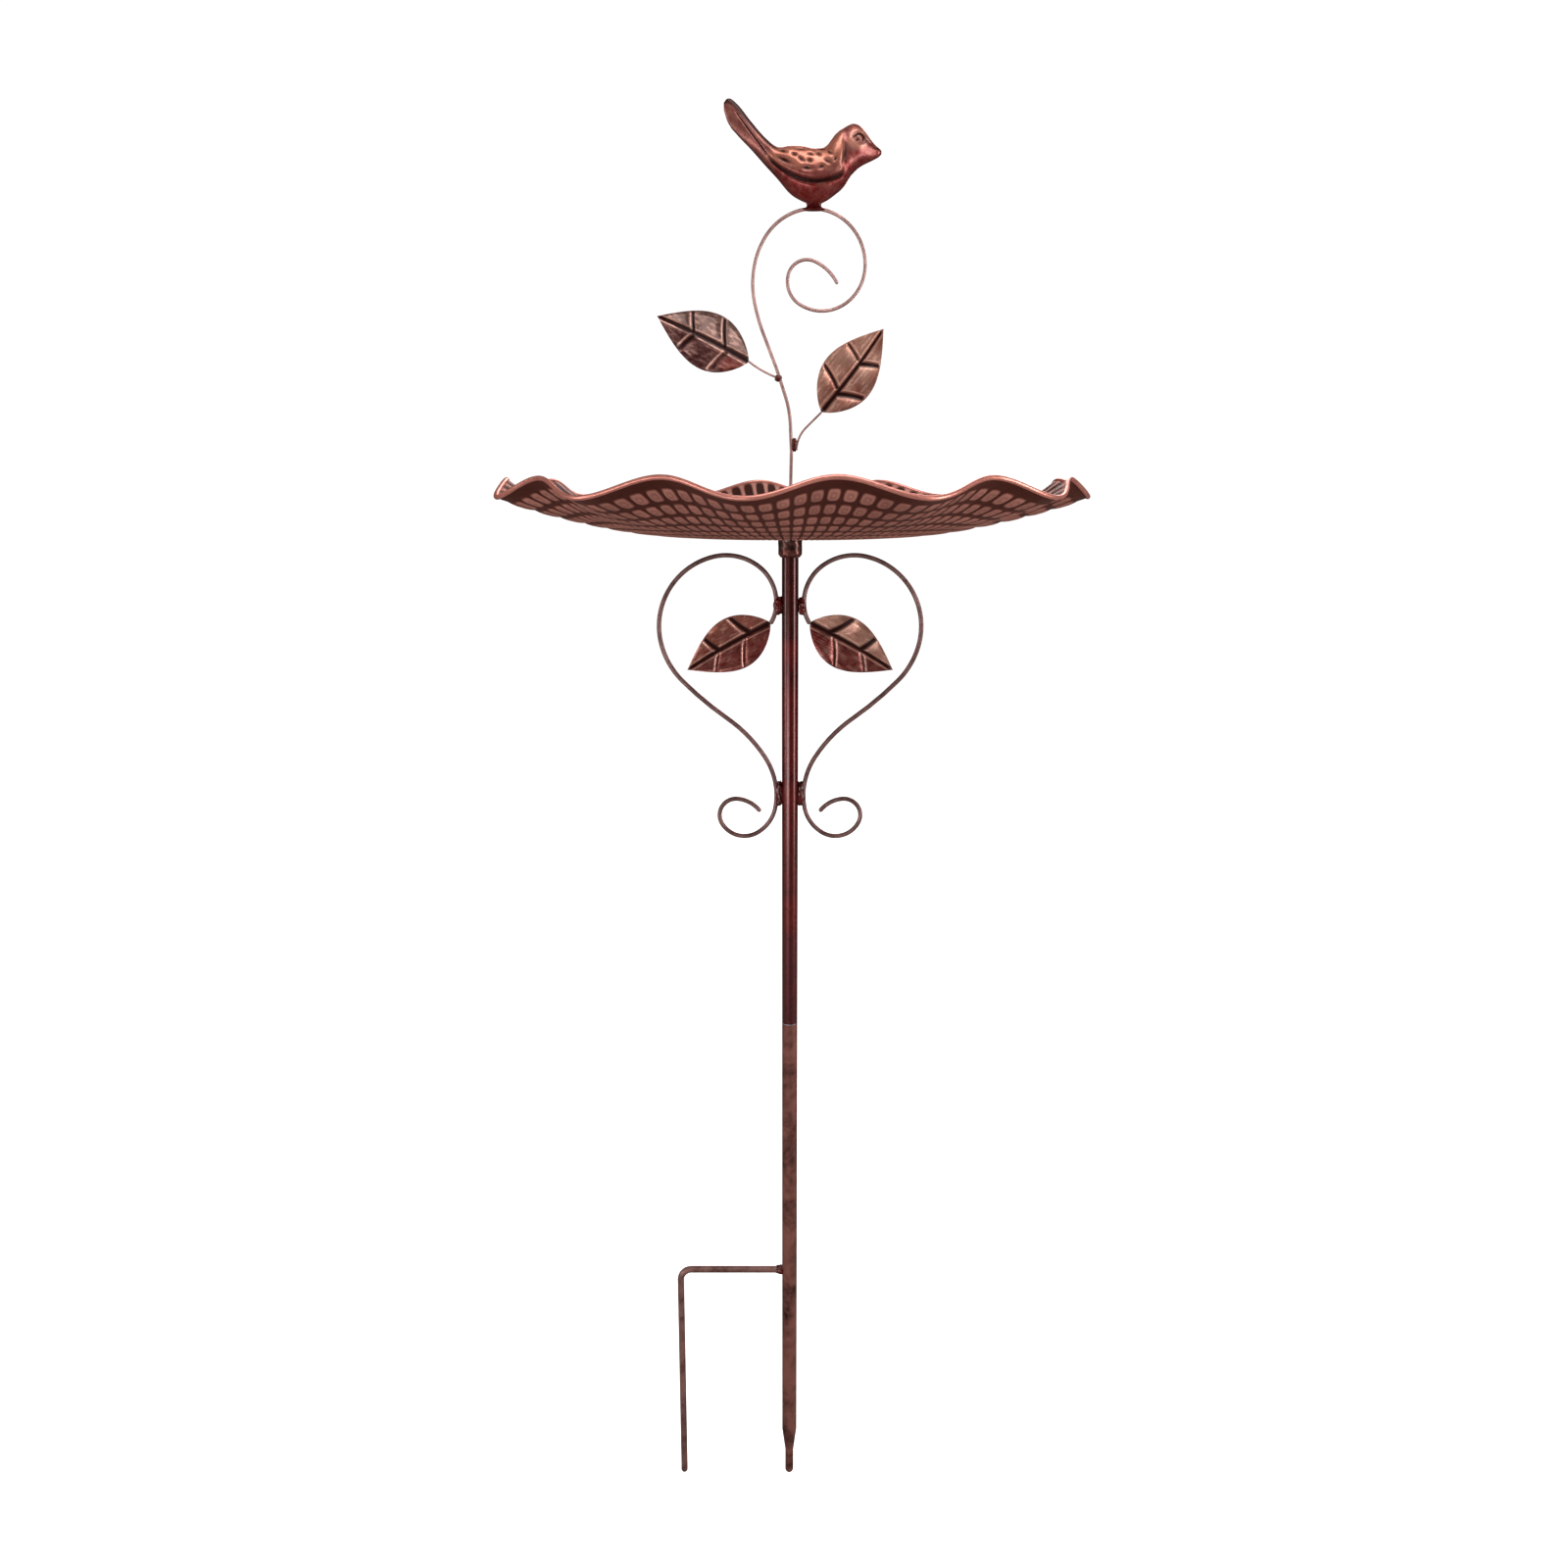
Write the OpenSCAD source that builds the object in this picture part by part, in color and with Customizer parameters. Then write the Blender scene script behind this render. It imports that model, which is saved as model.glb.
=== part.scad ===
// Garden stake bird bath: wavy copper dish on a two-part steel pole, with wire scrolls, stamped
// leaves and a small hollow bird. Millimetres, +Z up. The origin is on the pole's axis where the
// pole enters the ground.

/* [Pole] */
// Outer diameter of both tubes
pole_d = 10; // [8:0.5:14]
// Wall of both tubes
pole_wall = 1; // [0.8:0.1:1.5]
// How deep the stake's point goes into the ground
stake_depth = 150; // [110:5:220]
// Height of the joint between the two tubes
seam_h = 188.7; // [120:1:260]
// Height of the upper tube's top end
pole_top = 489.3; // [460:1:700]
// Diameter of the stake's blunt nose
nose_d = 5.7; // [4:0.1:7]
// Length of the nose
nose_l = 18.4; // [12:0.2:26]
// Length of the taper between the nose and the tube
taper_l = 16.7; // [10:0.1:30]
// How far the loose connector pin goes into each tube
spigot_grip = 60; // [30:1:90]
// Thickness of the pin's shoulder, on which both tubes stand
shoulder_t = 0.6; // [0.4:0.1:2]

/* [Ground prong] */
// Diameter of the prong's rod
prong_d = 4.5; // [3:0.1:6]
// Distance from the pole's axis to the prong's axis
prong_reach = 73.8; // [50:0.2:110]
// Height of the crossbar's axis
crossbar_h = 9.4; // [8:0.2:25]
// Centreline radius of the bend
prong_bend_r = 7.5; // [6:0.5:15]

/* [Scrolls] */
// Diameter of the scroll wire
scroll_wire_d = 2.8; // [2:0.1:3.6]
// Space between the pole and the scroll wire at the upper weld
scroll_gap = 2.3; // [1.5:0.1:4]

/* [Coupling] */
// Wall of the threaded coupling round the tube's end
socket_wall = 2.1; // [1.6:0.1:4]
// Height of the coupling
socket_h = 12.7; // [12:0.1:20]
// Nominal diameter of both studs
thread_d = 6; // [5:0.5:6.5]

/* [Dish] */
// Mean diameter of the dish over its rim
dish_d = 339.5; // [240:1:420]
// Mean height of the rim over the dish's flat underside
dish_h = 27.9; // [20:0.5:50]
// Number of waves in the rim
wave_count = 12; // [8:1:16]
// Half the height difference between the crests and the valleys of the rim
wave_h = 5.1; // [2:0.1:8]
// Half the radius difference between the valleys and the crests
wave_r = 4.25; // [1:0.25:8]
// Sheet thickness
sheet = 1; // [0.6:0.1:1.6]
// Diameter of the rolled rim
rim_d = 2.6; // [2.4:0.1:5]

/* [Ornament] */
// Diameter of the ornament's main wire
stem_wire_d = 2; // [1.5:0.1:2.6]
// Diameter of the wires of the two upper leaves
stalk_wire_d = 1.3; // [1:0.1:1.8]
// Size of the bird
bird_size = 1; // [0.8:0.05:1.2]

/* [Leaves] */
// Length of a leaf
leaf_l = 58; // [45:1:66]
// Width of a leaf
leaf_w = 32; // [22:0.5:36]
// Thickness of a leaf
leaf_t = 0.8; // [0.5:0.1:1.2]
// How deep a leaf is cupped
leaf_cup = 3.5; // [0:0.25:6]

/* [Clearances] */
// Radial running clearance of the spigot and the studs
run_gap = 0.05; // [0.02:0.01:0.1]
// Radial clearance of the stud in the dish
hole_gap = 0.35; // [0.3:0.05:0.6]

/* [Hidden] */

copper = [0.62, 0.36, 0.28];
dark_copper = [0.30, 0.16, 0.13];
steel = [0.55, 0.55, 0.56];
rubber = [0.10, 0.10, 0.11];

round_fn = 96;
wire_sides = 8;
turn_step = 13;
bead_fn = 15;

// Pole
pole_r = pole_d / 2;
bore_r = pole_r - pole_wall;
nose_r = nose_d / 2;
taper_top = nose_l + taper_l - stake_depth;
lower_top = seam_h - shoulder_t / 2;
upper_low = seam_h + shoulder_t / 2;
// The tube is solid from its point to a little above the taper
plug_l = 12;
shoulder_inset = 0.15;
stud_plug_l = 24;
stud_plug_r = bore_r - run_gap;

// Coupling: the tube's end, a washer and the pole's stud come in from below, the ornament's stud
// from above
collar_grip = 3.4;
washer_t = 1;
thread_r = thread_d / 2;
socket_z = pole_top - collar_grip;
socket_top = socket_z + socket_h;
thread_z = pole_top + washer_t;
thread_l = socket_top - thread_z;
stud_share = 0.55;
stud_end_gap = 0.6;
pole_stud_top = thread_z + thread_l * stud_share - stud_end_gap / 2;
ornament_stud_low = thread_z + thread_l * stud_share + stud_end_gap / 2;
socket_chamfer = 1.5;
socket_r = pole_r + run_gap + socket_wall;

// Dish
hole_r = thread_r + hole_gap;
rim_r = dish_d / 2;
flat_r = 40;
wave_inner_r = 100;
wave_turn = 7.5;
dish_power = 2.5;
dish_steps = 11;
steps_per_wave = 8;
rim_bead_r = rim_d / 2;

// Ornament's foot
seal_t = 1.5;
seal_r = 8;
flange_t = 3;
flange_r = 7;
pocket_l = 2;
seal_z = socket_top + sheet;
flange_z = seal_z + seal_t;
flange_top = flange_z + flange_t;
stem_r = stem_wire_d / 2;
// The stem stands a little to the right of the pole's axis
stem_x = 0.3;
// All heights of the ornament count from the dish's underside
ornament_z = socket_top;

// Wires run through arcs in the XZ plane. An arc is [radius, turn in degrees], and a left turn is
// positive; [length, 0] is straight.
function arc_points(p, h, r, a) =
    a == 0
    ? [[p[0] + r * cos(h), p[1] + r * sin(h), h]]
    : let (n = ceil(abs(a) / turn_step), s = sign(a))
      [for (k = [1:n]) let (g = h + a * k / n)
          [p[0] + s * r * (sin(g) - sin(h)), p[1] - s * r * (cos(g) - cos(h)), g]];

function arc_path(start, arcs, i = 0) =
    i == len(arcs)
    ? [start]
    : let (run = arc_points(start, start[2], arcs[i][0], arcs[i][1]))
      concat([start], [for (k = [0:1:len(run) - 2]) run[k]], arc_path(run[len(run) - 1], arcs, i + 1));

// The left scroll, from the leaf up past the pole, round the large loop, down past the pole and
// round the small loop. x counts from the pole's left side and z from the pole's top.
scroll_lead = 2.6;
scroll_start_x = -(pole_r + scroll_gap + scroll_wire_d / 2 + scroll_lead);
scroll_drop = 41.9;
scroll_z = pole_top - scroll_drop;
scroll_arcs = [
    [22.5, 19], [27, 66], [32.5, 48], [43.5, 92], [48, 29], [205, 10],
    [88, -22], [45, -42], [24, -49], [16, -95], [10.5, -124], [20, -43]
];
scroll_path = arc_path([scroll_start_x, scroll_z, 60.5], scroll_arcs);

// The ornament's wire: up from its stud, gently to the left, then round the large spiral
stem_rise = 28.9;
stem_arcs = [
    [stem_rise, 0], [0.001, -3], [266, 7], [64, 13], [334, 6], [100, -12], [50, -26],
    [43, -19], [33, -41], [30, -108], [24.5, -119], [14.5, -70], [11, -100], [26, -39]
];
stem_path = arc_path([stem_x, flange_top - pocket_l, 90], stem_arcs);

left_stalk_path = arc_path([-8.2, ornament_z + 90.6, 160], [[60, -17]]);
right_stalk_path = arc_path([3.7, ornament_z + 50, 88], [[18, -44], [12.2, 0]]);

// Closed solid through rings of points that run counterclockwise about the way they follow each
// other
module skin(rings, loop = false) {
    n = len(rings[0]);
    count = len(rings);
    last = loop ? count - 1 : count - 2;
    points = [for (ring = rings) each ring];
    sides = [
        for (i = [0:last], k = [0:n - 1])
            let (m = (k + 1) % n, j = (i + 1) % count, a = i * n + k, b = i * n + m)
            let (c = j * n + m, d = j * n + k)
            each [[a, d, c], [a, c, b]]
    ];
    caps = loop ? [] : [
        [for (k = [0:n - 1]) k],
        [for (k = [n - 1:-1:0]) (count - 1) * n + k]
    ];
    polyhedron(points, concat(sides, caps), convexity = 10);
}

// Round wire along a path of [x, z, heading]
module wire(path, d) {
    rings = [
        for (p = path)
            [for (k = [0:wire_sides - 1])
                let (u = 360 * (k + 0.5) / wire_sides, side = d / 2 * sin(u))
                [p[0] - side * sin(p[2]), d / 2 * cos(u), p[1] + side * cos(p[2])]]
    ];
    skin(rings);
}

// Half a leaf's width at a share t of its length, round at the base and pointed at the tip
function leaf_half(t) = max(0.35, leaf_w / 2 * pow(sin(180 * pow(t, 0.8)), 0.97));

// Stamped leaf from its base along a heading in the XZ plane, cupped towards the front
module leaf(x, z, heading) {
    shares = [0, 0.03, 0.1, 0.2, 0.32, 0.45, 0.58, 0.7, 0.82, 0.92, 1];
    across = [-1, -0.5, 0, 0.5, 1];
    rings = [
        for (t = shares)
            let (w = leaf_half(t))
            [for (side = [1, -1], i = [0:4])
                let (v = side * across[i], along = leaf_l * t)
                [
                    x + along * cos(heading) - v * w * sin(heading),
                    side * leaf_t / 2 - leaf_cup * v * v * w / (leaf_w / 2),
                    z + along * sin(heading) + v * w * cos(heading)
                ]]
    ];
    skin(rings);
}

// Weld bead: balls of radius r pulled together along points
module bead(points, r) {
    hull()
        for (p = points)
            translate(p)
                sphere(r, $fn = bead_fn);
}

// Cylinder on the pole's axis between two heights
module cylinder_from(low, high, r) {
    translate([0, 0, low]) cylinder(h = high - low, r = r, $fn = round_fn);
}

module lower_pole() {
    color(dark_copper)
    difference() {
        union() {
            translate([0, 0, nose_r - stake_depth]) sphere(nose_r, $fn = round_fn);
            cylinder_from(nose_r - stake_depth, nose_l - stake_depth, nose_r);
            translate([0, 0, nose_l - stake_depth])
                cylinder(h = taper_l, r1 = nose_r, r2 = pole_r, $fn = round_fn);
            cylinder_from(taper_top, lower_top, pole_r);
        }
        cylinder_from(taper_top + plug_l, lower_top + 1, bore_r);
    }
}

// Crossbar and second ground point, bent from one rod
module ground_prong() {
    bar_l = prong_reach - prong_bend_r - pole_r - run_gap;
    shank_top = crossbar_h - prong_bend_r;
    prong_r = prong_d / 2;
    color(dark_copper) {
        translate([prong_bend_r - prong_reach, 0, crossbar_h])
            rotate([0, 90, 0])
            cylinder(h = bar_l, r = prong_r, $fn = round_fn);
        translate([prong_bend_r - prong_reach, 0, shank_top])
            rotate([90, 0, 0])
            rotate([0, 0, 90])
            rotate_extrude(angle = 90, $fn = round_fn)
            translate([prong_bend_r, 0])
            circle(prong_r, $fn = round_fn);
        translate([-prong_reach, 0, prong_r - stake_depth])
            cylinder(h = shank_top + stake_depth - prong_r, r = prong_r, $fn = round_fn);
        translate([-prong_reach, 0, prong_r - stake_depth])
            sphere(prong_r, $fn = round_fn);
    }
}

module prong_weld() {
    weld_r = prong_d / 2 + 0.9;
    color(dark_copper)
    bead([[-pole_r - 2.2, 0, crossbar_h], [-pole_r + 0.8, 0, crossbar_h]], weld_r);
}

// Loose connector pin inside both tubes, with a shoulder at the seam that both tubes stand on
module pole_spigot() {
    color(steel) {
        cylinder_from(lower_top - spigot_grip, upper_low + spigot_grip, bore_r - run_gap);
        cylinder_from(lower_top, upper_low, pole_r - shoulder_inset);
    }
}

module upper_pole() {
    color(dark_copper)
    difference() {
        cylinder_from(upper_low, pole_top, pole_r);
        cylinder_from(upper_low - 1, pole_top + 1, bore_r);
    }
}

// Plug in the upper tube's end with the stud that the coupling screws on
module pole_stud() {
    color(steel) {
        cylinder_from(pole_top - stud_plug_l, pole_top, stud_plug_r);
        cylinder_from(pole_top - 1, pole_stud_top, thread_r);
    }
}

module left_scroll() {
    color(copper) wire(scroll_path, scroll_wire_d);
}

module right_scroll() {
    color(copper) mirror([1, 0, 0]) wire(scroll_path, scroll_wire_d);
}

// Weld between the pole and a scroll at a height, as long as its bead
module scroll_weld(z, length, gap) {
    reach = pole_r + gap;
    half = length / 2 - 2;
    color(dark_copper)
    bead([
        [-pole_r + 0.3, 0, z - half + 1], [-pole_r + 0.3, 0, z + half - 1],
        [-reach - 0.4, 0, z - half], [-reach - 0.4, 0, z + half]
    ], 2);
}

module upper_left_weld() {
    scroll_weld(scroll_z + 10.1, 11, scroll_gap);
}

module upper_right_weld() {
    mirror([1, 0, 0]) scroll_weld(scroll_z + 10.1, 11, scroll_gap);
}

module lower_left_weld() {
    scroll_weld(scroll_z - 106.5, 15.5, scroll_gap - 0.7);
}

module lower_right_weld() {
    mirror([1, 0, 0]) scroll_weld(scroll_z - 106.5, 15.5, scroll_gap - 0.7);
}

leaf_heading = 209.5;
leaf_start_gap = scroll_wire_d / 2 * 0.5 + 0.1;

module left_leaf() {
    color(copper)
    leaf(scroll_start_x + leaf_start_gap * cos(leaf_heading),
        scroll_z + leaf_start_gap * sin(leaf_heading), leaf_heading);
}

module right_leaf() {
    mirror([1, 0, 0]) left_leaf();
}

module stud_washer() {
    washer_r = pole_r - 0.2;
    color(steel)
    difference() {
        cylinder_from(pole_top, pole_top + washer_t, washer_r);
        cylinder_from(pole_top - 1, pole_top + washer_t + 1, thread_r + run_gap);
    }
}

// Threaded coupling, chamfered at its lower edge
module bowl_socket() {
    lip_r = socket_r - socket_chamfer;
    color(dark_copper)
    difference() {
        union() {
            translate([0, 0, socket_z])
                cylinder(h = socket_chamfer, r1 = lip_r, r2 = socket_r, $fn = round_fn);
            cylinder_from(socket_z + socket_chamfer, socket_top, socket_r);
        }
        cylinder_from(socket_z - 1, pole_top + washer_t, pole_r + run_gap);
        cylinder_from(socket_z, socket_top + 1, thread_r + run_gap);
    }
}

// Fillet of weld metal round the coupling's top, against the dish
module socket_weld() {
    weld_w = 2;
    inner_r = socket_r + run_gap;
    color(dark_copper)
    rotate_extrude($fn = round_fn)
    polygon([
        [inner_r, socket_top - run_gap],
        [inner_r, socket_top - weld_w],
        [inner_r + weld_w * 0.6, socket_top - weld_w * 0.5],
        [inner_r + weld_w, socket_top - run_gap]
    ]);
}

// Share of the rim's wave that shows at a radius
function wave_share(r) = pow(max(0, (r - wave_inner_r) / (rim_r - wave_inner_r)), 2);

// Height of the dish's underside at a radius, without the waves
function dish_height(r) = dish_h * pow(max(0, (r - flat_r) / (rim_r - flat_r)), dish_power);

// Point on the dish at an angle, at a radius before the waves and a height over the underside
function dish_point(angle, r, up) =
    let (wave = cos(wave_count * (angle - wave_turn)) * wave_share(r), far = r - wave_r * wave)
    [far * cos(angle), far * sin(angle), socket_top + dish_height(r) + wave_h * wave + up];

module bowl() {
    count = wave_count * steps_per_wave;
    radii = [for (i = [0:dish_steps]) hole_r + (rim_r - rim_d - hole_r) * pow(i / dish_steps, 0.8)];
    rim_mid = rim_r - rim_bead_r;
    bead_turns = [120, 60, 0, -60, -120];
    rings = [
        for (i = [0:count - 1])
            let (angle = 360 * i / count)
            concat(
                [for (r = radii) dish_point(angle, r, sheet)],
                [for (u = bead_turns)
                    dish_point(angle, rim_mid + rim_bead_r * cos(u), sheet / 2 + rim_bead_r * sin(u))],
                [for (k = [dish_steps:-1:0]) dish_point(angle, radii[k], 0)]
            )
    ];
    color(copper) skin(rings, loop = true);
}

module seal_washer() {
    color(rubber)
    difference() {
        cylinder_from(seal_z, flange_z, seal_r);
        cylinder_from(seal_z - 1, flange_z + 1, thread_r + run_gap);
    }
}

// Threaded foot of the ornament: a stud through the dish, a flange and a pocket for the wire
module ornament_stud() {
    color(steel)
    difference() {
        union() {
            cylinder_from(ornament_stud_low, flange_z + 1, thread_r);
            cylinder_from(flange_z, flange_top, flange_r);
        }
        translate([stem_x, 0, 0]) cylinder_from(flange_top - pocket_l, flange_top + 1, stem_r + run_gap);
    }
}

module ornament_stem() {
    color(copper) wire(stem_path, stem_wire_d);
}

module left_stalk() {
    color(copper) wire(left_stalk_path, stalk_wire_d);
}

module right_stalk() {
    color(copper) wire(right_stalk_path, stalk_wire_d);
}

module stalk_welds() {
    color(dark_copper) {
        bead([[-6, 0, ornament_z + 89.4], [-8.2, 0, ornament_z + 90.6]], 1.6);
        bead([[2.3, 0, ornament_z + 50.5], [2.3, 0, ornament_z + 55]], 1.7);
    }
}

module upper_left_leaf() {
    tip = left_stalk_path[len(left_stalk_path) - 1];
    color(dark_copper) leaf(tip[0] - 0.4, tip[1] + 0.2, 154.5);
}

module upper_right_leaf() {
    tip = right_stalk_path[len(right_stalk_path) - 1];
    color(copper) leaf(tip[0] + 0.3, tip[1] + 0.4, 52.5);
}

// The bird's sections along X: [x, lower z, upper z, half width], from the tail to the beak, from
// the point where it stands
bird_sections = [
    [-51.2, 49.2, 52.8, 0.9], [-49.8, 44.6, 54.6, 1.4], [-47.8, 40.8, 55, 1.8],
    [-44, 36.5, 52.4, 2.5], [-36, 28.7, 43.2, 4.5], [-28, 20.4, 34.6, 7], [-22, 14.4, 30, 8.5],
    [-14, 5.8, 30.4, 10.5], [-7, 1.9, 30.1, 11.5], [0, 0, 29, 11.8], [6, 2.1, 30.3, 11.5],
    [11, 5.3, 36.3, 11], [16, 9.5, 39.9, 10], [20.6, 15.9, 41.9, 9.2], [24.5, 19.5, 40.9, 8.2],
    [28.4, 21.6, 37.2, 6], [31, 22.7, 33.8, 4.3], [33.6, 23.9, 31, 2.9], [35.8, 25.2, 29.2, 1.9],
    [36.9, 26.3, 28.2, 0.8]
];
bird_x = 14;
bird_z = ornament_z + 183.9;
bird_wall = 1;
seam_half = 0.05;
shell_steps = 8;

// Half shell of the bird: an arc outside and an arc inside at each section. side is -1 for the
// front half and 1 for the back half
module bird_shell(side) {
    from = side < 0 ? 90 : -90;
    rings = [
        for (s = bird_sections)
            let (mid = (s[1] + s[2]) / 2, high = (s[2] - s[1]) / 2, wide = s[3])
            let (in_high = max(high * 0.4, high - bird_wall), in_wide = max(wide * 0.4, wide - bird_wall))
            concat(
                [for (k = [0:shell_steps])
                    let (u = from + 180 * k / shell_steps)
                    [s[0], side * seam_half + wide * cos(u), mid + high * sin(u)]],
                [for (k = [shell_steps:-1:0])
                    let (u = from + 180 * k / shell_steps)
                    [s[0], side * seam_half + in_wide * cos(u), mid + in_high * sin(u)]]
            )
    ];
    translate([bird_x, 0, bird_z]) scale(bird_size) skin(rings);
}

module bird_front_shell() {
    color(copper) bird_shell(-1);
}

module bird_back_shell() {
    color(copper) bird_shell(1);
}

// Blob of weld between the spiral's top and the bird's belly
module bird_weld() {
    color(dark_copper)
    bead([[bird_x - 3.5, 0, bird_z - 1.6], [bird_x + 3.5, 0, bird_z - 1.6]], 2);
}

lower_pole();
ground_prong();
prong_weld();
pole_spigot();
upper_pole();
pole_stud();
left_scroll();
right_scroll();
upper_left_weld();
upper_right_weld();
lower_left_weld();
lower_right_weld();
left_leaf();
right_leaf();
stud_washer();
bowl_socket();
socket_weld();
bowl();
seal_washer();
ornament_stud();
ornament_stem();
left_stalk();
right_stalk();
stalk_welds();
upper_left_leaf();
upper_right_leaf();
bird_weld();
bird_front_shell();
bird_back_shell();
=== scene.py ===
"""Looks of the garden stake bird bath: dish, wires, leaves, bird, welds, metal finishes and stage."""

import math

import bpy
import numpy as np
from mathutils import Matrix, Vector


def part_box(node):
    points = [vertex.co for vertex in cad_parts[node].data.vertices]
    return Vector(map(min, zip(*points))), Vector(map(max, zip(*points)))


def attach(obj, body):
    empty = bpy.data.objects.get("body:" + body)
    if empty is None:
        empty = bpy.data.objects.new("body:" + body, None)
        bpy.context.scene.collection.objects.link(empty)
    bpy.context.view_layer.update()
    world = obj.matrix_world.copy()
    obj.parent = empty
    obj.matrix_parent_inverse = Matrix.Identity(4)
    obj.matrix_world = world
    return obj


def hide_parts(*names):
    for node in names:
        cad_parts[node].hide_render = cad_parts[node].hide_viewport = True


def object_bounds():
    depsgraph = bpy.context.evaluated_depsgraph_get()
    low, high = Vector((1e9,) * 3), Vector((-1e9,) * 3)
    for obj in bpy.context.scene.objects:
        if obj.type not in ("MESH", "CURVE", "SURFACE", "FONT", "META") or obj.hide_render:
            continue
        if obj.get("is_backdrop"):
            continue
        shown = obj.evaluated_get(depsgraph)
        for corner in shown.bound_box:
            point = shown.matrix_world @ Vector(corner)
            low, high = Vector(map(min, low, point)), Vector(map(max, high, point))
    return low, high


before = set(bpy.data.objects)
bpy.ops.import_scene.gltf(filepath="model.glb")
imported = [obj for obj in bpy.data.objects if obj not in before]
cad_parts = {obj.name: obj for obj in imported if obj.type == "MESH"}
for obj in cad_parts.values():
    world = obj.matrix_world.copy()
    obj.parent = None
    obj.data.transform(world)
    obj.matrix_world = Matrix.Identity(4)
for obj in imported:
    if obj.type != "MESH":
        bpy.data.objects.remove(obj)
CAD_LOW, CAD_HIGH = (list(corner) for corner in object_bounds())

bl_info = {
    "name": "Garden Stake Bird Bath",
    "version": (1, 0, 0),
    "blender": (4, 5, 0),
    "location": "View3D > Sidebar > Bird Bath",
    "description": "Builds an antique copper bird bath on a garden stake",
    "category": "Add Mesh",
}

MM = 0.001
SIDEBAR = "Bird Bath"
COPPER_TINT, WHITE = (1.0, 0.52, 0.44, 1.0), (1.0, 1.0, 1.0, 1.0)
# Embossed cells: the power of their rounded outline and the mesh steps along and across one
CELL_POWER, CELL_STEPS = 3.4, 6

# Where the CAD pieces are, in millimetres
POLE_LOW, POLE_HIGH = (np.array(corner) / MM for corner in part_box("upper_pole"))
POLE_R = (POLE_HIGH[0] - POLE_LOW[0]) / 2
POLE_TOP = POLE_HIGH[2]
DISH_LOW, DISH_HIGH = (np.array(corner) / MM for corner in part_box("bowl"))
DISH_Z = DISH_LOW[2]
SOCKET_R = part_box("bowl_socket")[1][0] / MM
SOCKET_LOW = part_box("bowl_socket")[0][2] / MM
FLANGE_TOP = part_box("ornament_stud")[1][2] / MM
PRONG_WELD_R = 3.1
CROSSBAR_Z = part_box("prong_weld")[1][2] / MM - PRONG_WELD_R


# ------------------------ sizes and colours


def length(name, text, value, low, high):
    """A length property in metres from values in millimetres."""
    return bpy.props.FloatProperty(
        name=name, description=text, default=value * MM, min=low * MM, max=high * MM,
        precision=4, subtype="DISTANCE", unit="LENGTH",
    )


def paint(name, text, red, green, blue):
    """A colour property from 0 to 255 display values."""
    value = [display_to_linear(channel / 255) for channel in (red, green, blue)]
    return bpy.props.FloatVectorProperty(
        name=name, description=text, default=value, min=0, max=1, size=3, subtype="COLOR"
    )


def display_to_linear(value):
    """The sRGB curve: a straight foot, then a power of 2.4."""
    return value / 12.92 if value <= 0.04045 else ((value + 0.055) / 1.055) ** 2.4


class BirdBathSizes(bpy.types.PropertyGroup):
    """Sizes that the looks add to the CAD frame."""

    cell_columns: bpy.props.IntProperty(
        name="Cell columns", description="Embossed cells round the dish", default=120, min=60, max=180,
    )
    cell_row: length("Cell row", "Radial pitch of the embossed cells", 13.3, 8, 20)
    cell_depth: length("Cell depth", "How far an embossed cell stands out", 0.8, 0.2, 1.5)
    vein_depth: length("Vein depth", "Depth of a leaf's veins", 0.9, 0.2, 1.5)
    feather_depth: length("Feather depth", "Depth of the bird's feather marks", 0.5, 0.1, 1)


class BirdBathColours(bpy.types.PropertyGroup):
    """Colours of the finishes."""

    pole_maroon: paint("Pole maroon", "Upper pole's gloss paint", 84, 20, 18)
    pole_brown: paint("Pole brown", "Lower pole's matte paint", 114, 74, 66)
    prong_brown: paint("Prong brown", "Ground prong's worn paint", 118, 90, 84)
    plum: paint("Plum", "Upper pole's foot and the pewter leaf's dark half", 62, 24, 30)
    # Besides dark paint in hollows, this colour paints shade: the upper pole's top under the dish and the
    # bird's tail edges
    shadow: paint("Shadow", "Dark paint that stays in hollows", 30, 5, 4)
    # Besides rubbed metal, this colour paints the highlights on the leaves' vein lips and other ridges
    rubbed: paint("Rubbed", "Metal that handling has rubbed bright", 226, 186, 170)
    dish_rose: paint("Dish rose", "Raised cells outside the dish", 196, 132, 118)
    dish_groove: paint("Dish groove", "Hollows between the dish's cells", 66, 24, 16)
    dish_rim: paint("Dish rim", "Rolled rim and the ribs inside", 190, 134, 122)
    wire: paint("Wire", "Scroll wire", 122, 96, 93)
    stem: paint("Stem", "The ornament's stem and stalks", 176, 146, 141)
    leaf_red: paint("Leaf red", "Dark half of the lower leaves", 106, 40, 38)
    leaf_rust: paint("Leaf rust", "Light half of the left leaf", 136, 78, 64)
    leaf_gold: paint("Leaf gold", "Upper right leaf and rubbed leaf halves", 172, 134, 116)
    leaf_pewter: paint("Leaf pewter", "Upper left leaf", 100, 82, 76)
    bird_rose: paint("Bird rose", "The bird's tail and head", 128, 74, 69)
    bird_gold: paint("Bird gold", "The bird's wing", 180, 116, 94)
    bird_crimson: paint("Bird crimson", "The bird's belly", 112, 26, 28)


def sizes():
    return bpy.context.scene.bird_bath_sizes


def colours():
    return bpy.context.scene.bird_bath_colours


# ------------------------ surfaces


def grid_quads(rows, columns, wrap_rows, wrap_columns):
    """Quads of a grid of points numbered row by row; a wrapped side also joins its last line to its
    first."""
    i = np.arange(rows if wrap_rows else rows - 1)[:, None]
    j = np.arange(columns if wrap_columns else columns - 1)[None, :]
    below, right = (i + 1) % rows, (j + 1) % columns
    quads = [i * columns + j, below * columns + j, below * columns + right, i * columns + right]
    return np.stack(np.broadcast_arrays(*quads), axis=-1).reshape(-1, 4)


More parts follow.
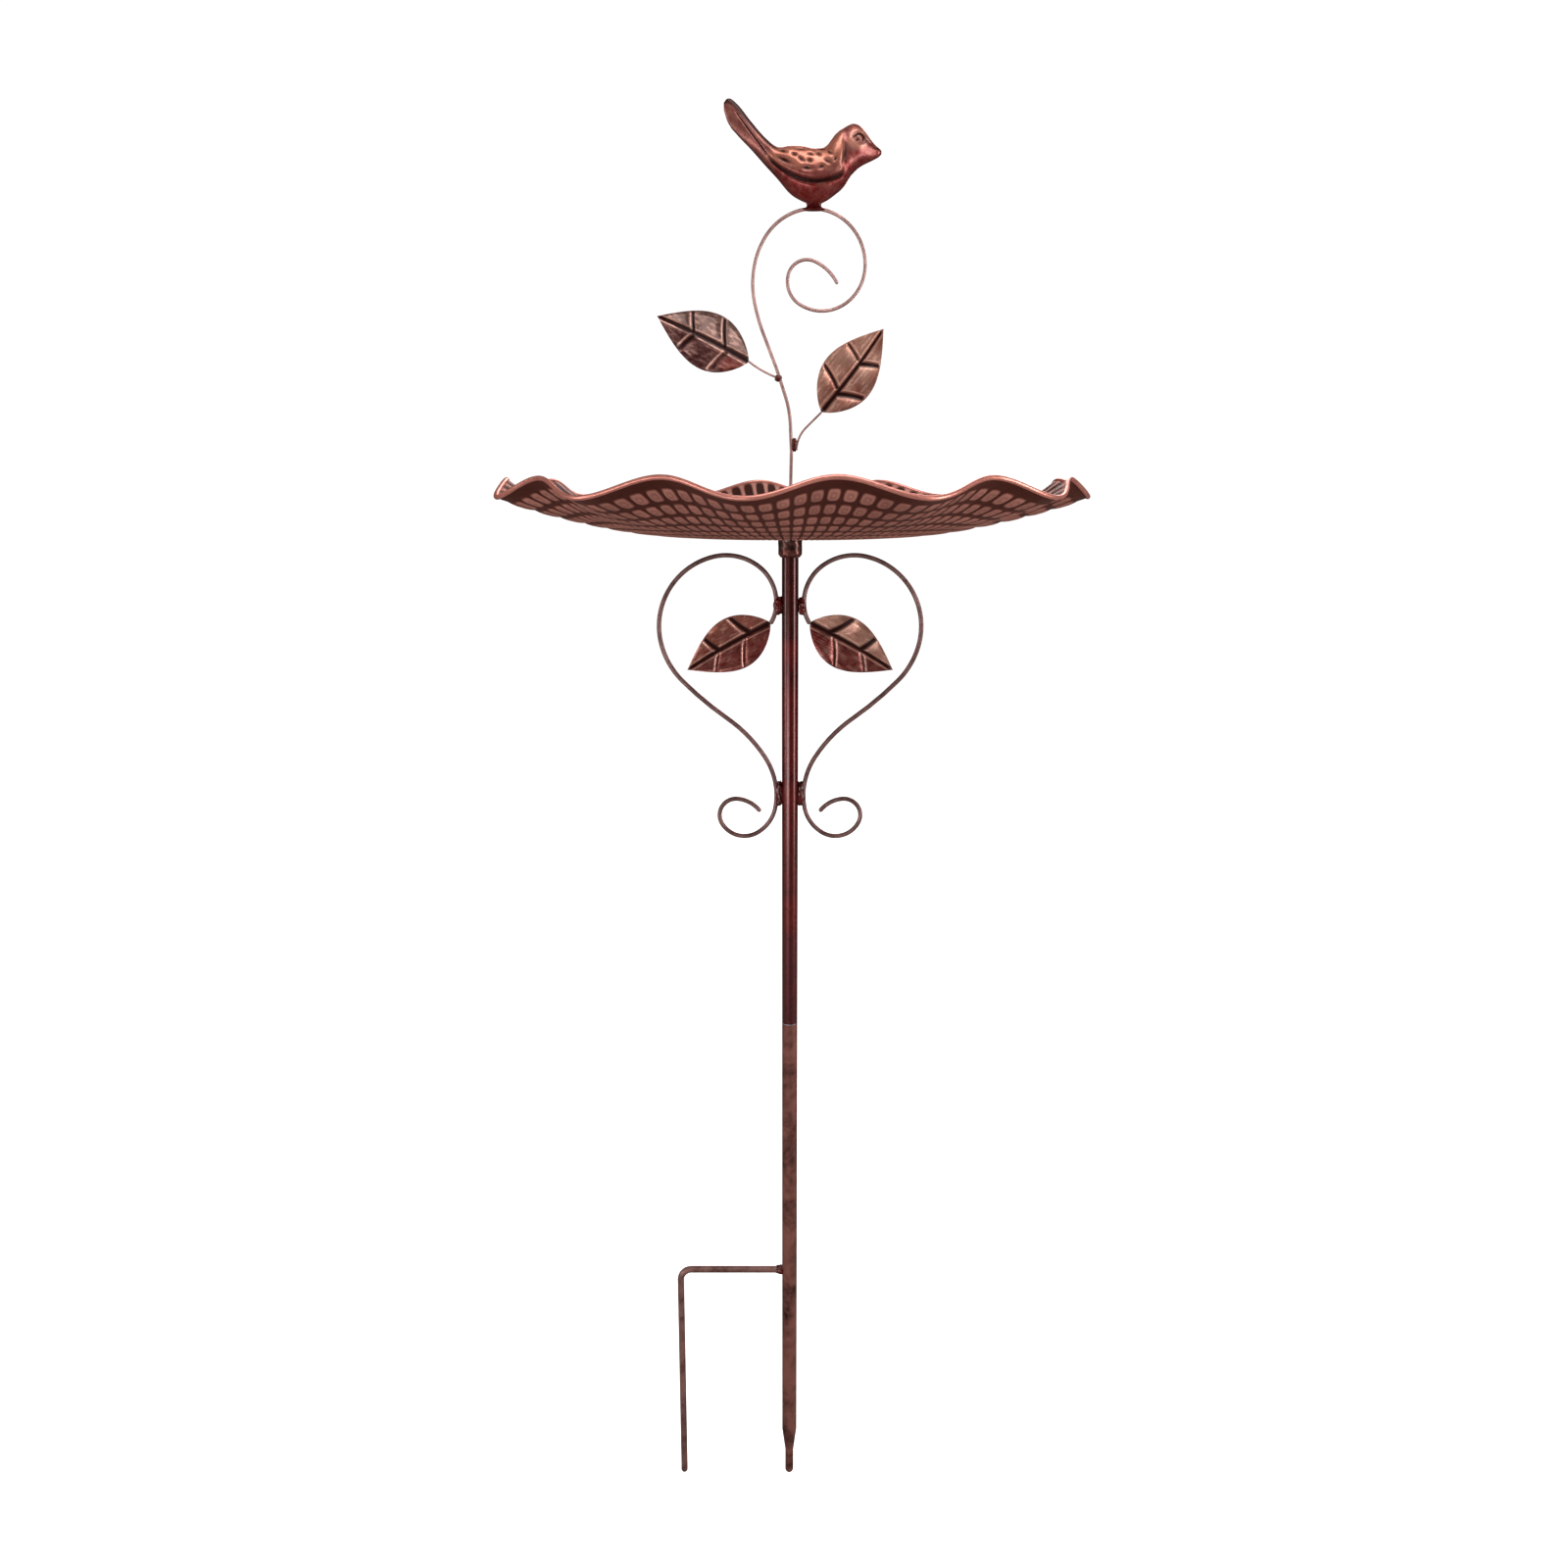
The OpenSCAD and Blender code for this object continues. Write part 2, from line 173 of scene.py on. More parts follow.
def add_piece(name, points, quads, body, nodes, material, caps=(), fields=None, uv=None):
    """A mesh piece in the row's frame from points in millimetres, riding on a CAD body."""
    mesh = bpy.data.meshes.new(name)
    faces = quads.tolist() + [list(cap) for cap in caps]
    mesh.from_pydata((points * MM).tolist(), [], faces)
    for key, values in (fields or {}).items():
        mesh.attributes.new(key, "FLOAT", "POINT").data.foreach_set("value", values.astype(np.float32))
    if uv is not None:
        corner = np.empty(len(mesh.loops), dtype=np.int32)
        mesh.loops.foreach_get("vertex_index", corner)
        mesh.uv_layers.new(name="Cells").data.foreach_set("uv", uv(corner).astype(np.float32).ravel())
    mesh.polygons.foreach_set("use_smooth", np.ones(len(mesh.polygons), dtype=bool))
    mesh.materials.append(material)
    mesh.validate()
    mesh.update()
    piece = bpy.data.objects.new(name, mesh)
    bpy.context.scene.collection.objects.link(piece)
    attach(piece, body)
    if nodes:
        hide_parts(*nodes)
    return piece


def wave_noise(points, scale, seed):
    """Smooth seeded noise, mostly from -1 to 1: the sum of eight sine waves in random directions
    over 1.5 sqrt(8)."""
    random = np.random.default_rng(seed)
    points = points.reshape(-1, 3)
    total = np.zeros(len(points))
    for _ in range(8):
        direction = random.normal(size=3)
        direction /= np.linalg.norm(direction)
        rate = random.uniform(0.6, 1.6) / scale
        total += np.sin(points @ direction * rate * 2 * math.pi + random.uniform(0, 2 * math.pi))
    return total / 8 ** 0.5 / 1.5


def smooth_step(low, high, value):
    """0 on low's side, 1 on high's side and 3t^2 - 2t^3 between them."""
    t = np.clip((value - low) / (high - low), 0, 1)
    return t * t * (3 - 2 * t)


def bell(*offsets):
    """exp(-(a^2 + b^2 + ...)): 1 where every offset is 0, and nearly 0 where one is 2."""
    return np.exp(-sum(offset ** 2 for offset in offsets))


def stacked(*parts):
    """Arrays broadcast to one shape, with their values side by side on a last axis."""
    return np.stack(np.broadcast_arrays(*parts), axis=-1)


def round_angles(count):
    """A row of evenly spaced angles of a full turn."""
    return np.linspace(0, 2 * math.pi, count, endpoint=False)[None, :]


def end_caps(rows, around):
    """The two end faces of a tube whose points are numbered row by row."""
    last = (rows - 1) * around
    return tuple(range(around)), tuple(range(last + around - 1, last - 1, -1))


def mirrored(points, quads, caps):
    """The piece on the other side of X = 0, with its faces turned to point outwards again."""
    return points * (-1, 1, 1), quads[:, ::-1], tuple(tuple(cap)[::-1] for cap in caps)


# ------------------------ wire paths

PATH_STEP = 3.0  # degrees round an arc, or millimetres along a straight length
WIRE_SIDES = 14


def arc_path(start, arcs):
    """Points [x, z, heading] along arcs of [radius, turn in degrees]; a turn of 0 is a straight
    length. Each point is centre + radius * (sin, -cos) of its heading."""
    x, z, heading = start
    rows = [np.array([[x, z, math.radians(heading)]])]
    for radius, turn in arcs:
        h = rows[-1][-1, 2]
        x, z = rows[-1][-1, :2]
        if turn == 0:
            t = np.linspace(0, radius, max(2, int(radius / PATH_STEP)))[1:]
            rows.append(np.stack([x + t * np.cos(h), z + t * np.sin(h), np.full_like(t, h)], axis=1))
            continue
        side = math.copysign(1, turn)
        g = h + np.radians(np.linspace(0, turn, max(2, int(abs(turn) / PATH_STEP)) + 1))[1:]
        across = side * radius * (np.sin(g) - math.sin(h))
        up = side * radius * (math.cos(h) - np.cos(g))
        rows.append(np.stack([x + across, z + up, g], axis=1))
    return np.concatenate(rows)


def swept_wire(path, radius):
    """Round wire along a path in the XZ plane: centre + radius * (cos u across Y, sin u across the
    path), with half-ball ends. Returns points, quads and the two end caps."""
    lean = np.radians([12, 35, 58, 78])
    first, final = (path[k:][:1].repeat(4, axis=0) for k in (0, -1))
    first[:, :2] -= (radius * np.cos(lean))[:, None] * (np.cos(path[0, 2]), np.sin(path[0, 2]))
    final[:, :2] += (radius * np.cos(lean[::-1]))[:, None] * (np.cos(path[-1, 2]), np.sin(path[-1, 2]))
    spine = np.concatenate([first, path, final])
    ends = radius * np.sin(lean)
    r = np.concatenate([ends, np.full(len(path), radius), ends[::-1]])[:, None]
    u = round_angles(WIRE_SIDES)
    x, z, h = (spine[:, k:k + 1] for k in range(3))
    points = stacked(x - r * np.sin(u) * np.sin(h), r * np.cos(u), z + r * np.sin(u) * np.cos(h))
    quads = grid_quads(len(spine), WIRE_SIDES, False, True)[:, ::-1]
    caps = tuple(cap[::-1] for cap in end_caps(len(spine), WIRE_SIDES))
    return points.reshape(-1, 3), quads, caps


SCROLL_GAP, SCROLL_R, STEM_R, STALK_R = 2.3, 1.4, 1.0, 0.65
SCROLL_X = -(POLE_R + SCROLL_GAP + SCROLL_R + 2.6)
SCROLL_Z = POLE_TOP - 41.9
SCROLL_ARCS = [
    [22.5, 19], [27, 66], [32.5, 48], [43.5, 92], [48, 29], [205, 10],
    [88, -22], [45, -42], [24, -49], [16, -95], [10.5, -124], [20, -43],
]
STEM_ARCS = [
    [28.9, 0], [0.5, -3], [266, 7], [64, 13], [334, 6], [100, -12], [50, -26],
    [43, -19], [33, -41], [30, -108], [24.5, -119], [14.5, -70], [11, -100], [26, -39],
]
LEFT_STALK = arc_path([-8.2, DISH_Z + 90.6, 160], [[60, -17]])
RIGHT_STALK = arc_path([3.7, DISH_Z + 50, 88], [[18, -44], [12.2, 0]])


# ------------------------ node groups and materials


def wire_up(tree, *pairs):
    for source, target in pairs:
        tree.links.new(source, target)


def new_node(tree, kind, settings=(), values=()):
    """A shader node with settings as (property, value) and input values as (input, value)."""
    node = tree.nodes.new("ShaderNode" + kind)
    for key, value in settings:
        setattr(node, key, value)
    for key, value in values:
        node.inputs[key].default_value = value
    return node


def make_group(name, inputs, outputs):
    """An empty shader group with float, colour or vector sockets; returns it and its two ends."""
    group = bpy.data.node_groups.new(name, "ShaderNodeTree")
    for label, kind, value in inputs:
        socket = group.interface.new_socket(label, in_out="INPUT", socket_type="NodeSocket" + kind)
        if value is not None:
            socket.default_value = value
    for label, kind in outputs:
        group.interface.new_socket(label, in_out="OUTPUT", socket_type="NodeSocket" + kind)
    return group, group.nodes.new("NodeGroupInput"), group.nodes.new("NodeGroupOutput")


def math_node(tree, operation, *values):
    node = new_node(tree, "Math", [("operation", operation)])
    for socket, value in zip(node.inputs, values):
        if isinstance(value, (int, float)):
            socket.default_value = value
        else:
            tree.links.new(value, socket)
    return node.outputs[0]


def times(tree, first, second):
    return math_node(tree, "MULTIPLY", first, second)


def plus(tree, first, second):
    return math_node(tree, "ADD", first, second)


def minus(tree, first, second):
    return math_node(tree, "SUBTRACT", first, second)


def mix_colour(tree, share, first, second):
    """The first colour turned to the second by a share of 0 to 1; each may be a socket or a value."""
    node = new_node(tree, "Mix", [("data_type", "RGBA")])
    for socket, value in zip((node.inputs[0], node.inputs[6], node.inputs[7]), (share, first, second)):
        if isinstance(value, bpy.types.NodeSocket):
            tree.links.new(value, socket)
        elif isinstance(value, (int, float)):
            socket.default_value = value
        else:
            socket.default_value = (*value, 1)
    return node.outputs[2]


def mix_part(tree, share, most, first, second):
    """mix_colour by a share times the most that it may reach."""
    return mix_colour(tree, times(tree, share, most), first, second)


def noise(tree, vector, scale, detail, rough, distortion=0.0):
    values = ("Scale", scale), ("Detail", detail), ("Roughness", rough), ("Distortion", distortion)
    node = new_node(tree, "TexNoise", values=values)
    tree.links.new(vector, node.inputs["Vector"])
    return node.outputs["Fac"]


def ramp(tree, value, low, high):
    """A smooth ramp from 0 at low to 1 at high."""
    ends = ("From Min", low), ("From Max", high)
    node = new_node(tree, "MapRange", [("interpolation_type", "SMOOTHSTEP")], ends)
    tree.links.new(value, node.inputs["Value"])
    return node.outputs["Result"]


def patina_group():
    """Antique patina: cloudy darkening, fine mottling and specks, all from Object coordinates."""
    group, inside, outside = make_group(
        "Antique patina",
        [("Vector", "Vector", None), ("Amount", "Float", 0.5), ("Size", "Float", 1.0)],
        [("Cloud", "Float"), ("Mottle", "Float"), ("Height", "Float")],
    )
    scaled = new_node(group, "VectorMath", [("operation", "SCALE")])
    wire_up(
        group,
        (inside.outputs["Vector"], scaled.inputs[0]), (inside.outputs["Size"], scaled.inputs["Scale"]),
    )
    vector = scaled.outputs[0]
    cloud = ramp(group, noise(group, vector, 38, 3, 0.6, 0.6), 0.35, 0.68)
    mottle = ramp(group, noise(group, vector, 210, 4, 0.65), 0.3, 0.72)
    speck = ramp(group, noise(group, vector, 900, 2, 0.5), 0.62, 0.78)
    amount = inside.outputs["Amount"]
    wire_up(
        group,
        (times(group, cloud, amount), outside.inputs["Cloud"]),
        (times(group, mottle, amount), outside.inputs["Mottle"]),
        (plus(group, mottle, times(group, speck, 0.5)), outside.inputs["Height"]),
    )
    return group


def cell_group():
    """Embossed cells on a UV grid: a rounded rectangle in each square of it, and a ring in each
    rectangle. Distance is (a^p + b^p)^(1/p) of the place in the square, with p = CELL_POWER."""
    group, inside, outside = make_group(
        "Embossed cells",
        [("UV", "Vector", None)],
        [("Raised", "Float"), ("Ring", "Float"), ("Shade", "Float")],
    )
    split = new_node(group, "SeparateXYZ")
    wire_up(group, (inside.outputs["UV"], split.inputs[0]))
    power = []
    for axis in (0, 1):
        place = math_node(group, "FRACT", split.outputs[axis])
        from_middle = math_node(group, "ABSOLUTE", minus(group, place, 0.5))
        power.append(math_node(group, "POWER", times(group, from_middle, 2.0), CELL_POWER))
    distance = math_node(group, "POWER", plus(group, *power), 1 / CELL_POWER)
    raised = minus(group, 1.0, ramp(group, distance, 0.58, 0.86))
    inner = math_node(group, "ABSOLUTE", minus(group, distance, 0.3))
    ring = minus(group, 1.0, ramp(group, inner, 0.0, 0.22))
    whole = new_node(group, "VectorMath", [("operation", "FLOOR")])
    white = new_node(group, "TexWhiteNoise", [("noise_dimensions", "2D")])
    wire_up(
        group,
        (inside.outputs["UV"], whole.inputs[0]),
        (whole.outputs[0], white.inputs["Vector"]),
        (raised, outside.inputs["Raised"]),
        (ring, outside.inputs["Ring"]),
        (white.outputs["Value"], outside.inputs["Shade"]),
    )
    return group


def add_group(tree, name, builder, values=()):
    """A node of a shared group, which is built the first time."""
    shared = bpy.data.node_groups.get(name) or builder()
    return new_node(tree, "Group", [("node_tree", shared)], values)


def new_material(name, roughness, metallic, coat, amount, size, tint=COPPER_TINT):
    """A Principled material with an Antique patina group on Object coordinates. Returns it with its
    node tree, its shader and the group's outputs."""
    material = bpy.data.materials.new(name)
    material.use_nodes = True
    tree = material.node_tree
    shader = tree.nodes["Principled BSDF"]
    shader.inputs["Roughness"].default_value = roughness
    shader.inputs["Metallic"].default_value = metallic
    shader.inputs["Coat Weight"].default_value = coat
    shader.inputs["Coat Roughness"].default_value = 0.2
    shader.inputs["Specular IOR Level"].default_value = 0.2
    shader.inputs["Specular Tint"].default_value = tint
    shader.inputs["Coat Tint"].default_value = tint
    place = new_node(tree, "TexCoord")
    patina = add_group(tree, "Antique patina", patina_group, [("Amount", amount), ("Size", size)])
    tree.links.new(place.outputs["Object"], patina.inputs["Vector"])
    return material, tree, shader, patina.outputs


def set_bump(tree, shader, height, strength, distance):
    bump = new_node(tree, "Bump", values=[("Strength", strength), ("Distance", distance)])
    wire_up(tree, (height, bump.inputs["Height"]), (bump.outputs["Normal"], shader.inputs["Normal"]))


def field(tree, name):
    """A number that the mesh keeps at each point."""
    return new_node(tree, "Attribute", [("attribute_name", name)]).outputs["Fac"]


# Painted metals: roughness, metallic, coat, patina amount, patina size and bump
METALS = {
    "Rubbed rim copper": (0.34, 0.6, 0.3, 0.7, 1.5, 0.2),
    "Antique copper wire": (0.42, 0.5, 0.15, 0.6, 2.0, 0.3),
    "Rubbed stem wire": (0.38, 0.5, 0.15, 0.8, 2.0, 0.3),
    "Painted weld": (0.3, 0.4, 0.6, 0.9, 3.0, 0.6),
    "Bird foot paint": (0.35, 0.4, 0.4, 0.5, 2.0, 0.4),
    "Gloss red-brown paint": (0.3, 0.35, 0.5, 0.75, 0.8, 0.12),
    "Matte brown paint": (0.48, 0.35, 0.1, 1.0, 1.0, 0.3),
    "Worn prong paint": (0.42, 0.4, 0.2, 0.7, 1.5, 0.3),
    "Zinc plate": (0.48, 0.8, 0.0, 0.4, 2.0, 0.1),
    "Black rubber": (0.8, 0.0, 0.0, 0.5, 2.0, 0.3),
}


def painted_metal(name, base, shadow, tint=COPPER_TINT):
    """Paint over metal: the base colour clouded with the shadow colour and mottled with a lighter one,
    and rougher where it is mottled."""
    roughness, metallic, coat, amount, size, bump = METALS[name]
    material, tree, shader, patina = new_material(name, roughness, metallic, coat, amount, size, tint)
    colour = mix_colour(tree, patina["Cloud"], base, shadow)
    light = [min(1.0, channel * 1.35 + 0.006) for channel in base]
    colour = mix_part(tree, patina["Mottle"], 0.45, colour, light)
    rough = plus(tree, times(tree, patina["Mottle"], 0.18), roughness - 0.05)
    wire_up(tree, (colour, shader.inputs["Base Color"]), (rough, shader.inputs["Roughness"]))
    set_bump(tree, shader, patina["Height"], bump, 0.0003)
    return material


def hollow_metal(name, base, second, accent):
    """Brushed and rubbed copper: the base colour turns to the second and the accent by the mesh's
    tone and accent, to the shadow colour in its hollows (dark paint, and painted shade on the bird's
    tail edges) and to the rubbed colour on its lips and ridges (rubbed wear and a painted highlight)."""
    palette = colours()
    roughness = 0.34
    material, tree, shader, patina = new_material(name, roughness, 0.5, 0.2, 0.8, 1.6)
    colour = mix_colour(tree, field(tree, "tone"), base, second)
    colour = mix_colour(tree, field(tree, "accent"), colour, accent)
    colour = mix_part(tree, patina["Cloud"], 0.3, colour, palette.shadow)
    light = mix_colour(tree, 0.35, colour, palette.rubbed)
    colour = mix_part(tree, patina["Mottle"], 0.45, colour, light)
    # Lips and ridges turn to the rubbed colour: rubbed wear and a painted highlight
    colour = mix_part(tree, field(tree, "wear_and_highlight"), 0.8, colour, palette.rubbed)
    hollow = field(tree, "hollow")
    colour = mix_colour(tree, hollow, colour, palette.shadow)
    rough = plus(tree, times(tree, hollow, 0.3), roughness)
    wire_up(tree, (colour, shader.inputs["Base Color"]), (rough, shader.inputs["Roughness"]))
    set_bump(tree, shader, patina["Height"], 0.16, 0.0003)
    return material


def dish_metal():
    """Embossed copper sheet: rose cells with dark grooves outside, dark cells with light ribs
    inside, and a plain light band under the rim."""
    palette = colours()
    roughness = 0.42
    material, tree, shader, patina = new_material("Embossed antique copper", roughness, 0.4, 0.0, 0.75, 1.2)
    uv = new_node(tree, "UVMap", [("uv_map", "Cells")])
    cells = add_group(tree, "Embossed cells", cell_group)
    tree.links.new(uv.outputs["UV"], cells.inputs["UV"])
    celled = field(tree, "celled")
    raised = times(tree, cells.outputs["Raised"], celled)
    groove = minus(tree, 1.0, raised)
    ring = times(tree, times(tree, cells.outputs["Ring"], celled), 0.3)
    dark_rose = [channel * 0.55 for channel in palette.dish_rose]
    rose = mix_part(tree, cells.outputs["Shade"], 0.5, palette.dish_rose, dark_rose)
    rose = mix_part(tree, patina["Mottle"], 0.35, rose, palette.dish_rim)
    outer = mix_colour(tree, ring, rose, palette.dish_groove)
    outer = mix_part(tree, groove, 0.95, outer, palette.dish_groove)
    inner = mix_part(tree, raised, 0.95, palette.dish_rim, palette.shadow)
    inside = field(tree, "inside")
    colour = mix_colour(tree, inside, outer, inner)
    colour = mix_part(tree, patina["Cloud"], 0.3, colour, palette.dish_groove)
    dull = plus(tree, times(tree, inside, 0.25), roughness)
    share = times(tree, minus(tree, 1.15, inside), 0.35)
    wire_up(
        tree, (colour, shader.inputs["Base Color"]), (dull, shader.inputs["Roughness"]),
        (share, shader.inputs["Metallic"]),
    )
    height = plus(tree, raised, times(tree, patina["Height"], 0.12))
    set_bump(tree, shader, height, 0.35, 0.0006)
    return material


# ------------------------ dish

WAVES, WAVE_TURN, WAVE_H, WAVE_R = 12, math.radians(7.5), 5.1, 4.25
WAVE_INNER_R, FLAT_R, DISH_POWER, DISH_H = 100.0, 40.0, 2.5, 27.9
SHEET, RIM_BEAD_R, HOLE_R = 1.0, 1.3, 3.35
RIM_R = (DISH_HIGH[0] - DISH_LOW[0]) / 2 - WAVE_R + 1.5
# The plain band under the rim, and how far a cell's relief goes down and out
BAND_W, RELIEF_DOWN, RELIEF_OUT = 4, 0.9, 0.35


def dish_height(r):
    """The dish's meridian: depth times ((r - flat) / (rim - flat)) to a power."""
    return DISH_H * np.clip((r - FLAT_R) / (RIM_R - FLAT_R), 0, None) ** DISH_POWER


def dish_surface(angle, r, up, out):
    """Point on the dish at an angle, at a mean radius and a height over the underside: the wave
    cos(12 (angle - turn)) lifts the rim and pulls it in, more towards the rim."""
    share = np.clip((r - WAVE_INNER_R) / (RIM_R - WAVE_INNER_R), 0, None) ** 2
    wave = np.cos(WAVES * (angle - WAVE_TURN)) * share
    far = r - WAVE_R * wave + out
    z = DISH_Z + dish_height(r) + WAVE_H * wave + up
    return stacked(far * np.cos(angle), far * np.sin(angle), z)


class BIRDBATH_OT_dish(bpy.types.Operator):
    """Make the embossed dish"""

    bl_idname = "bird_bath.dish"
    bl_label = "Dish"

    def execute(self, context):
        """The section runs outwards on the upper side and back on the underside; both sides move by
        the same cell relief, 1 - (a^p + b^p)^(1/p) smoothed with p = CELL_POWER, so the sheet keeps
        its thickness."""
        size = sizes()
        cell_row = size.cell_row / MM
        columns = size.cell_columns * CELL_STEPS
        angle = np.arange(columns)[:, None] * 2 * math.pi / columns
        band = RIM_R - RIM_BEAD_R * 2 - BAND_W
        edge = RIM_R - RIM_BEAD_R * 1.5
        fine = np.arange(band, FLAT_R - 4, -cell_row / CELL_STEPS)[::-1]
        r_up = np.concatenate([np.linspace(HOLE_R, fine[0] - 2, 6), fine, [band + 1.3, band + 2.6, edge]])
        r = np.concatenate([r_up, r_up[::-1]])[None, :]
        upper = (np.arange(r.size) < len(r_up))[None, :]
        column_place = angle / (2 * math.pi) * size.cell_columns
        row_place = (band - r) / cell_row
        a = np.abs(column_place % 1 - 0.5) * 2
        b = np.abs(row_place % 1 - 0.5) * 2
        away = (a ** CELL_POWER + b ** CELL_POWER) ** (1 / CELL_POWER)
        off_flat = smooth_step(FLAT_R - 2, FLAT_R + 4, r)
        celled = smooth_step(0, 0.06, row_place) * off_flat
        relief = (1 - smooth_step(0.5, 0.95, away)) * celled * size.cell_depth / MM
        up = np.where(upper, SHEET, 0.0) - relief * RELIEF_DOWN
        points = dish_surface(angle, r, up, relief * RELIEF_OUT).reshape(-1, 3)
        rows = r.size
        to_rim = np.minimum(row_place, 0.5)
        row_seen = np.where(upper, row_place + (0.5 - to_rim) * 0.55, row_place)
        uv_points = stacked(column_place, row_seen).reshape(-1, 2)

        def cell_uv(corner):
            """The last column's corners on the seam take the number of columns, not 0."""
            uv = uv_points[corner]
            quad = uv.reshape(-1, 4, 2)
            crosses = (quad[:, :, 0].max(axis=1) - quad[:, :, 0].min(axis=1)) > size.cell_columns / 2
            quad[crosses, :, 0] += np.where(quad[crosses, :, 0] < 1, size.cell_columns, 0)
            return quad.reshape(-1, 2)

        seen = np.where(upper, off_flat, celled)
        full = np.broadcast_to(seen, (columns, rows)).ravel()
        inside = np.broadcast_to(upper, (columns, rows)).astype(float).ravel()
        add_piece(
            "dish", points, grid_quads(columns, rows, True, True)[:, ::-1], "dish", ["bowl"],
            dish_metal(), fields={"celled": full, "inside": inside}, uv=cell_uv,
        )
        self.add_rim()
        return {"FINISHED"}

    def add_rim(self):
        """Rolled rim: a round bead along the dish's waving edge, centre + r (cos u, sin u)."""
        count, sides = 960, 16
        angle = np.arange(count)[:, None] * 2 * math.pi / count
        u = round_angles(sides)
        rim = RIM_R - RIM_BEAD_R
        points = dish_surface(
            angle, np.full((1, 1), rim), SHEET / 2 + RIM_BEAD_R * np.sin(u), RIM_BEAD_R * np.cos(u)
        ).reshape(-1, 3)
        palette = colours()
        finish = painted_metal("Rubbed rim copper", palette.dish_rim, palette.dish_rose)
        add_piece(
            "dish_rim", points, grid_quads(count, sides, True, True), "dish", [], finish
        )


# ------------------------ wires


class BIRDBATH_OT_wires(bpy.types.Operator):
    """Make the scrolls under the dish, the ornament's stem and the leaf stalks"""

    bl_idname = "bird_bath.wires"
    bl_label = "Wires"

    def execute(self, context):
        palette = colours()
        dark = painted_metal("Antique copper wire", palette.wire, palette.shadow)
        pale = painted_metal("Rubbed stem wire", palette.stem, palette.wire)
        scroll = arc_path([SCROLL_X, SCROLL_Z, 60.5], SCROLL_ARCS)
        stem = arc_path([0.3, FLANGE_TOP - 2.0, 90], STEM_ARCS)
        for name, path, radius, body, slot in (
            ("left_scroll", scroll, SCROLL_R, "upper_pole", "scroll_wire"),
            ("right_scroll", scroll, SCROLL_R, "upper_pole", "scroll_wire"),
            ("ornament_stem", stem, STEM_R, "ornament", "stem_wire"),
            ("left_stalk", LEFT_STALK, STALK_R, "ornament", "stem_wire"),
            ("right_stalk", RIGHT_STALK, STALK_R, "ornament", "stem_wire"),
        ):
            finish = dark if slot == "scroll_wire" else pale
            points, quads, caps = swept_wire(path, radius)
            if name == "right_scroll":
                points, quads, caps = mirrored(points, quads, caps)
            add_piece(name + "_wire", points, quads, body, [name], finish, caps=caps)
        return {"FINISHED"}


# ------------------------ leaves

LEAF_L, LEAF_W, LEAF_CUP, LEAF_T = 58.0, 32.0, 3.5, 0.7
# Side veins: start along the midrib, side, angle from it, half width and how dark it is. Side 1 is
# the lower half of the three hanging leaves and the left half of the upright one
RED_VEINS = [
    (13.0, -1, 57, 2.1, 1.0), (34.8, -1, 60, 1.9, 1.0),
    (17.0, 1, 49, 0.75, 0.35), (35.5, 1, 44, 0.75, 0.4),
]
RUST_VEINS = [
    (12.5, -1, 50, 2.1, 1.0), (34.0, -1, 58, 2.0, 1.0),
    (16.0, 1, 49, 1.0, 0.6), (35.5, 1, 44, 0.9, 0.5),
]
PEWTER_VEINS = [
    (14.5, -1, 55, 1.2, 1.0), (34.5, -1, 56, 1.2, 1.0),
    (13.0, 1, 60, 1.1, 0.5), (34.0, 1, 58, 1.6, 0.9),
]
GOLD_VEINS = [
    (15.5, 1, 60, 1.2, 0.9), (35.5, 1, 66, 1.0, 0.8),
    (12.5, -1, 54, 2.1, 1.0), (33.5, -1, 52, 1.9, 1.0),
]


def leaf_marks(along, across, half, veins):
    """(groove, fill, lip, near) of a stamped leaf. A groove is exp(-(distance / width)^2) from the
    midrib or from a straight side vein, fill is how much dark paint it keeps, lip is the raised lip on
    its tip side with rubbed wear and a painted highlight, and near is the same field, wider, that the
    pillows leave free."""
    reach = 1 - smooth_step(LEAF_L * 0.95, LEAF_L, along)
    bow = across + 0.9 * np.sin(math.pi * along / LEAF_L)
    wide = 1.8 - 0.018 * along
    groove = fill = bell(bow / wide) * reach
    # Raised lip beside the midrib: rubbed wear and a painted highlight
    wear_and_highlight = bell((np.abs(bow) - wide - 0.75) / 0.45) * reach * 0.7
    near = bell(bow / (wide * 3.2))
    inside = smooth_step(0.2, 1.6, half - np.abs(across))
    for start, side, angle, width, dark in veins:
        lean = math.radians(angle)
        run = (along - start) * math.cos(lean) + across * side * math.sin(lean)
        off = -(along - start) * math.sin(lean) + across * side * math.cos(lean)
        off = off - 0.009 * run * np.abs(run)
        there = smooth_step(-0.6, 1.2, run) * (across * side > -1.0) * inside
        taper = width * (1 - 0.018 * np.clip(run, 0, 20))
        cut = bell(off / taper) * there
        groove = np.maximum(groove, cut * (0.55 + 0.45 * dark))
        fill = np.maximum(fill, cut * dark)
        # Raised lip on each side vein's tip side: rubbed wear and a painted highlight
        wear_and_highlight = np.maximum(wear_and_highlight, bell((off + taper + 0.75) / 0.5) * there)
        near = np.maximum(near, bell(off / (taper * 3.2)) * smooth_step(-1.5, 1.5, run))
    return groove, fill, wear_and_highlight * (1 - fill), near


def leaf_wear(along, across, seed):
    """(rubbed, dirty) of a leaf: brushed streaks are noise stretched four times along the leaf, and
    the dirt lies in cloudy patches of plainer noise."""
    places = stacked(along * 0.25, across, 0)
    streaks = wave_noise(places, 2.2, seed) + 0.5 * wave_noise(places, 0.9, seed + 1)
    patches = wave_noise(stacked(along, across, 0), 13, seed + 2)
    rubbed = smooth_step(0.1, 1.2, streaks + 0.5 * patches)
    dirty = smooth_step(0.1, 1.1, -streaks * 0.6 - patches)
    return rubbed, dirty


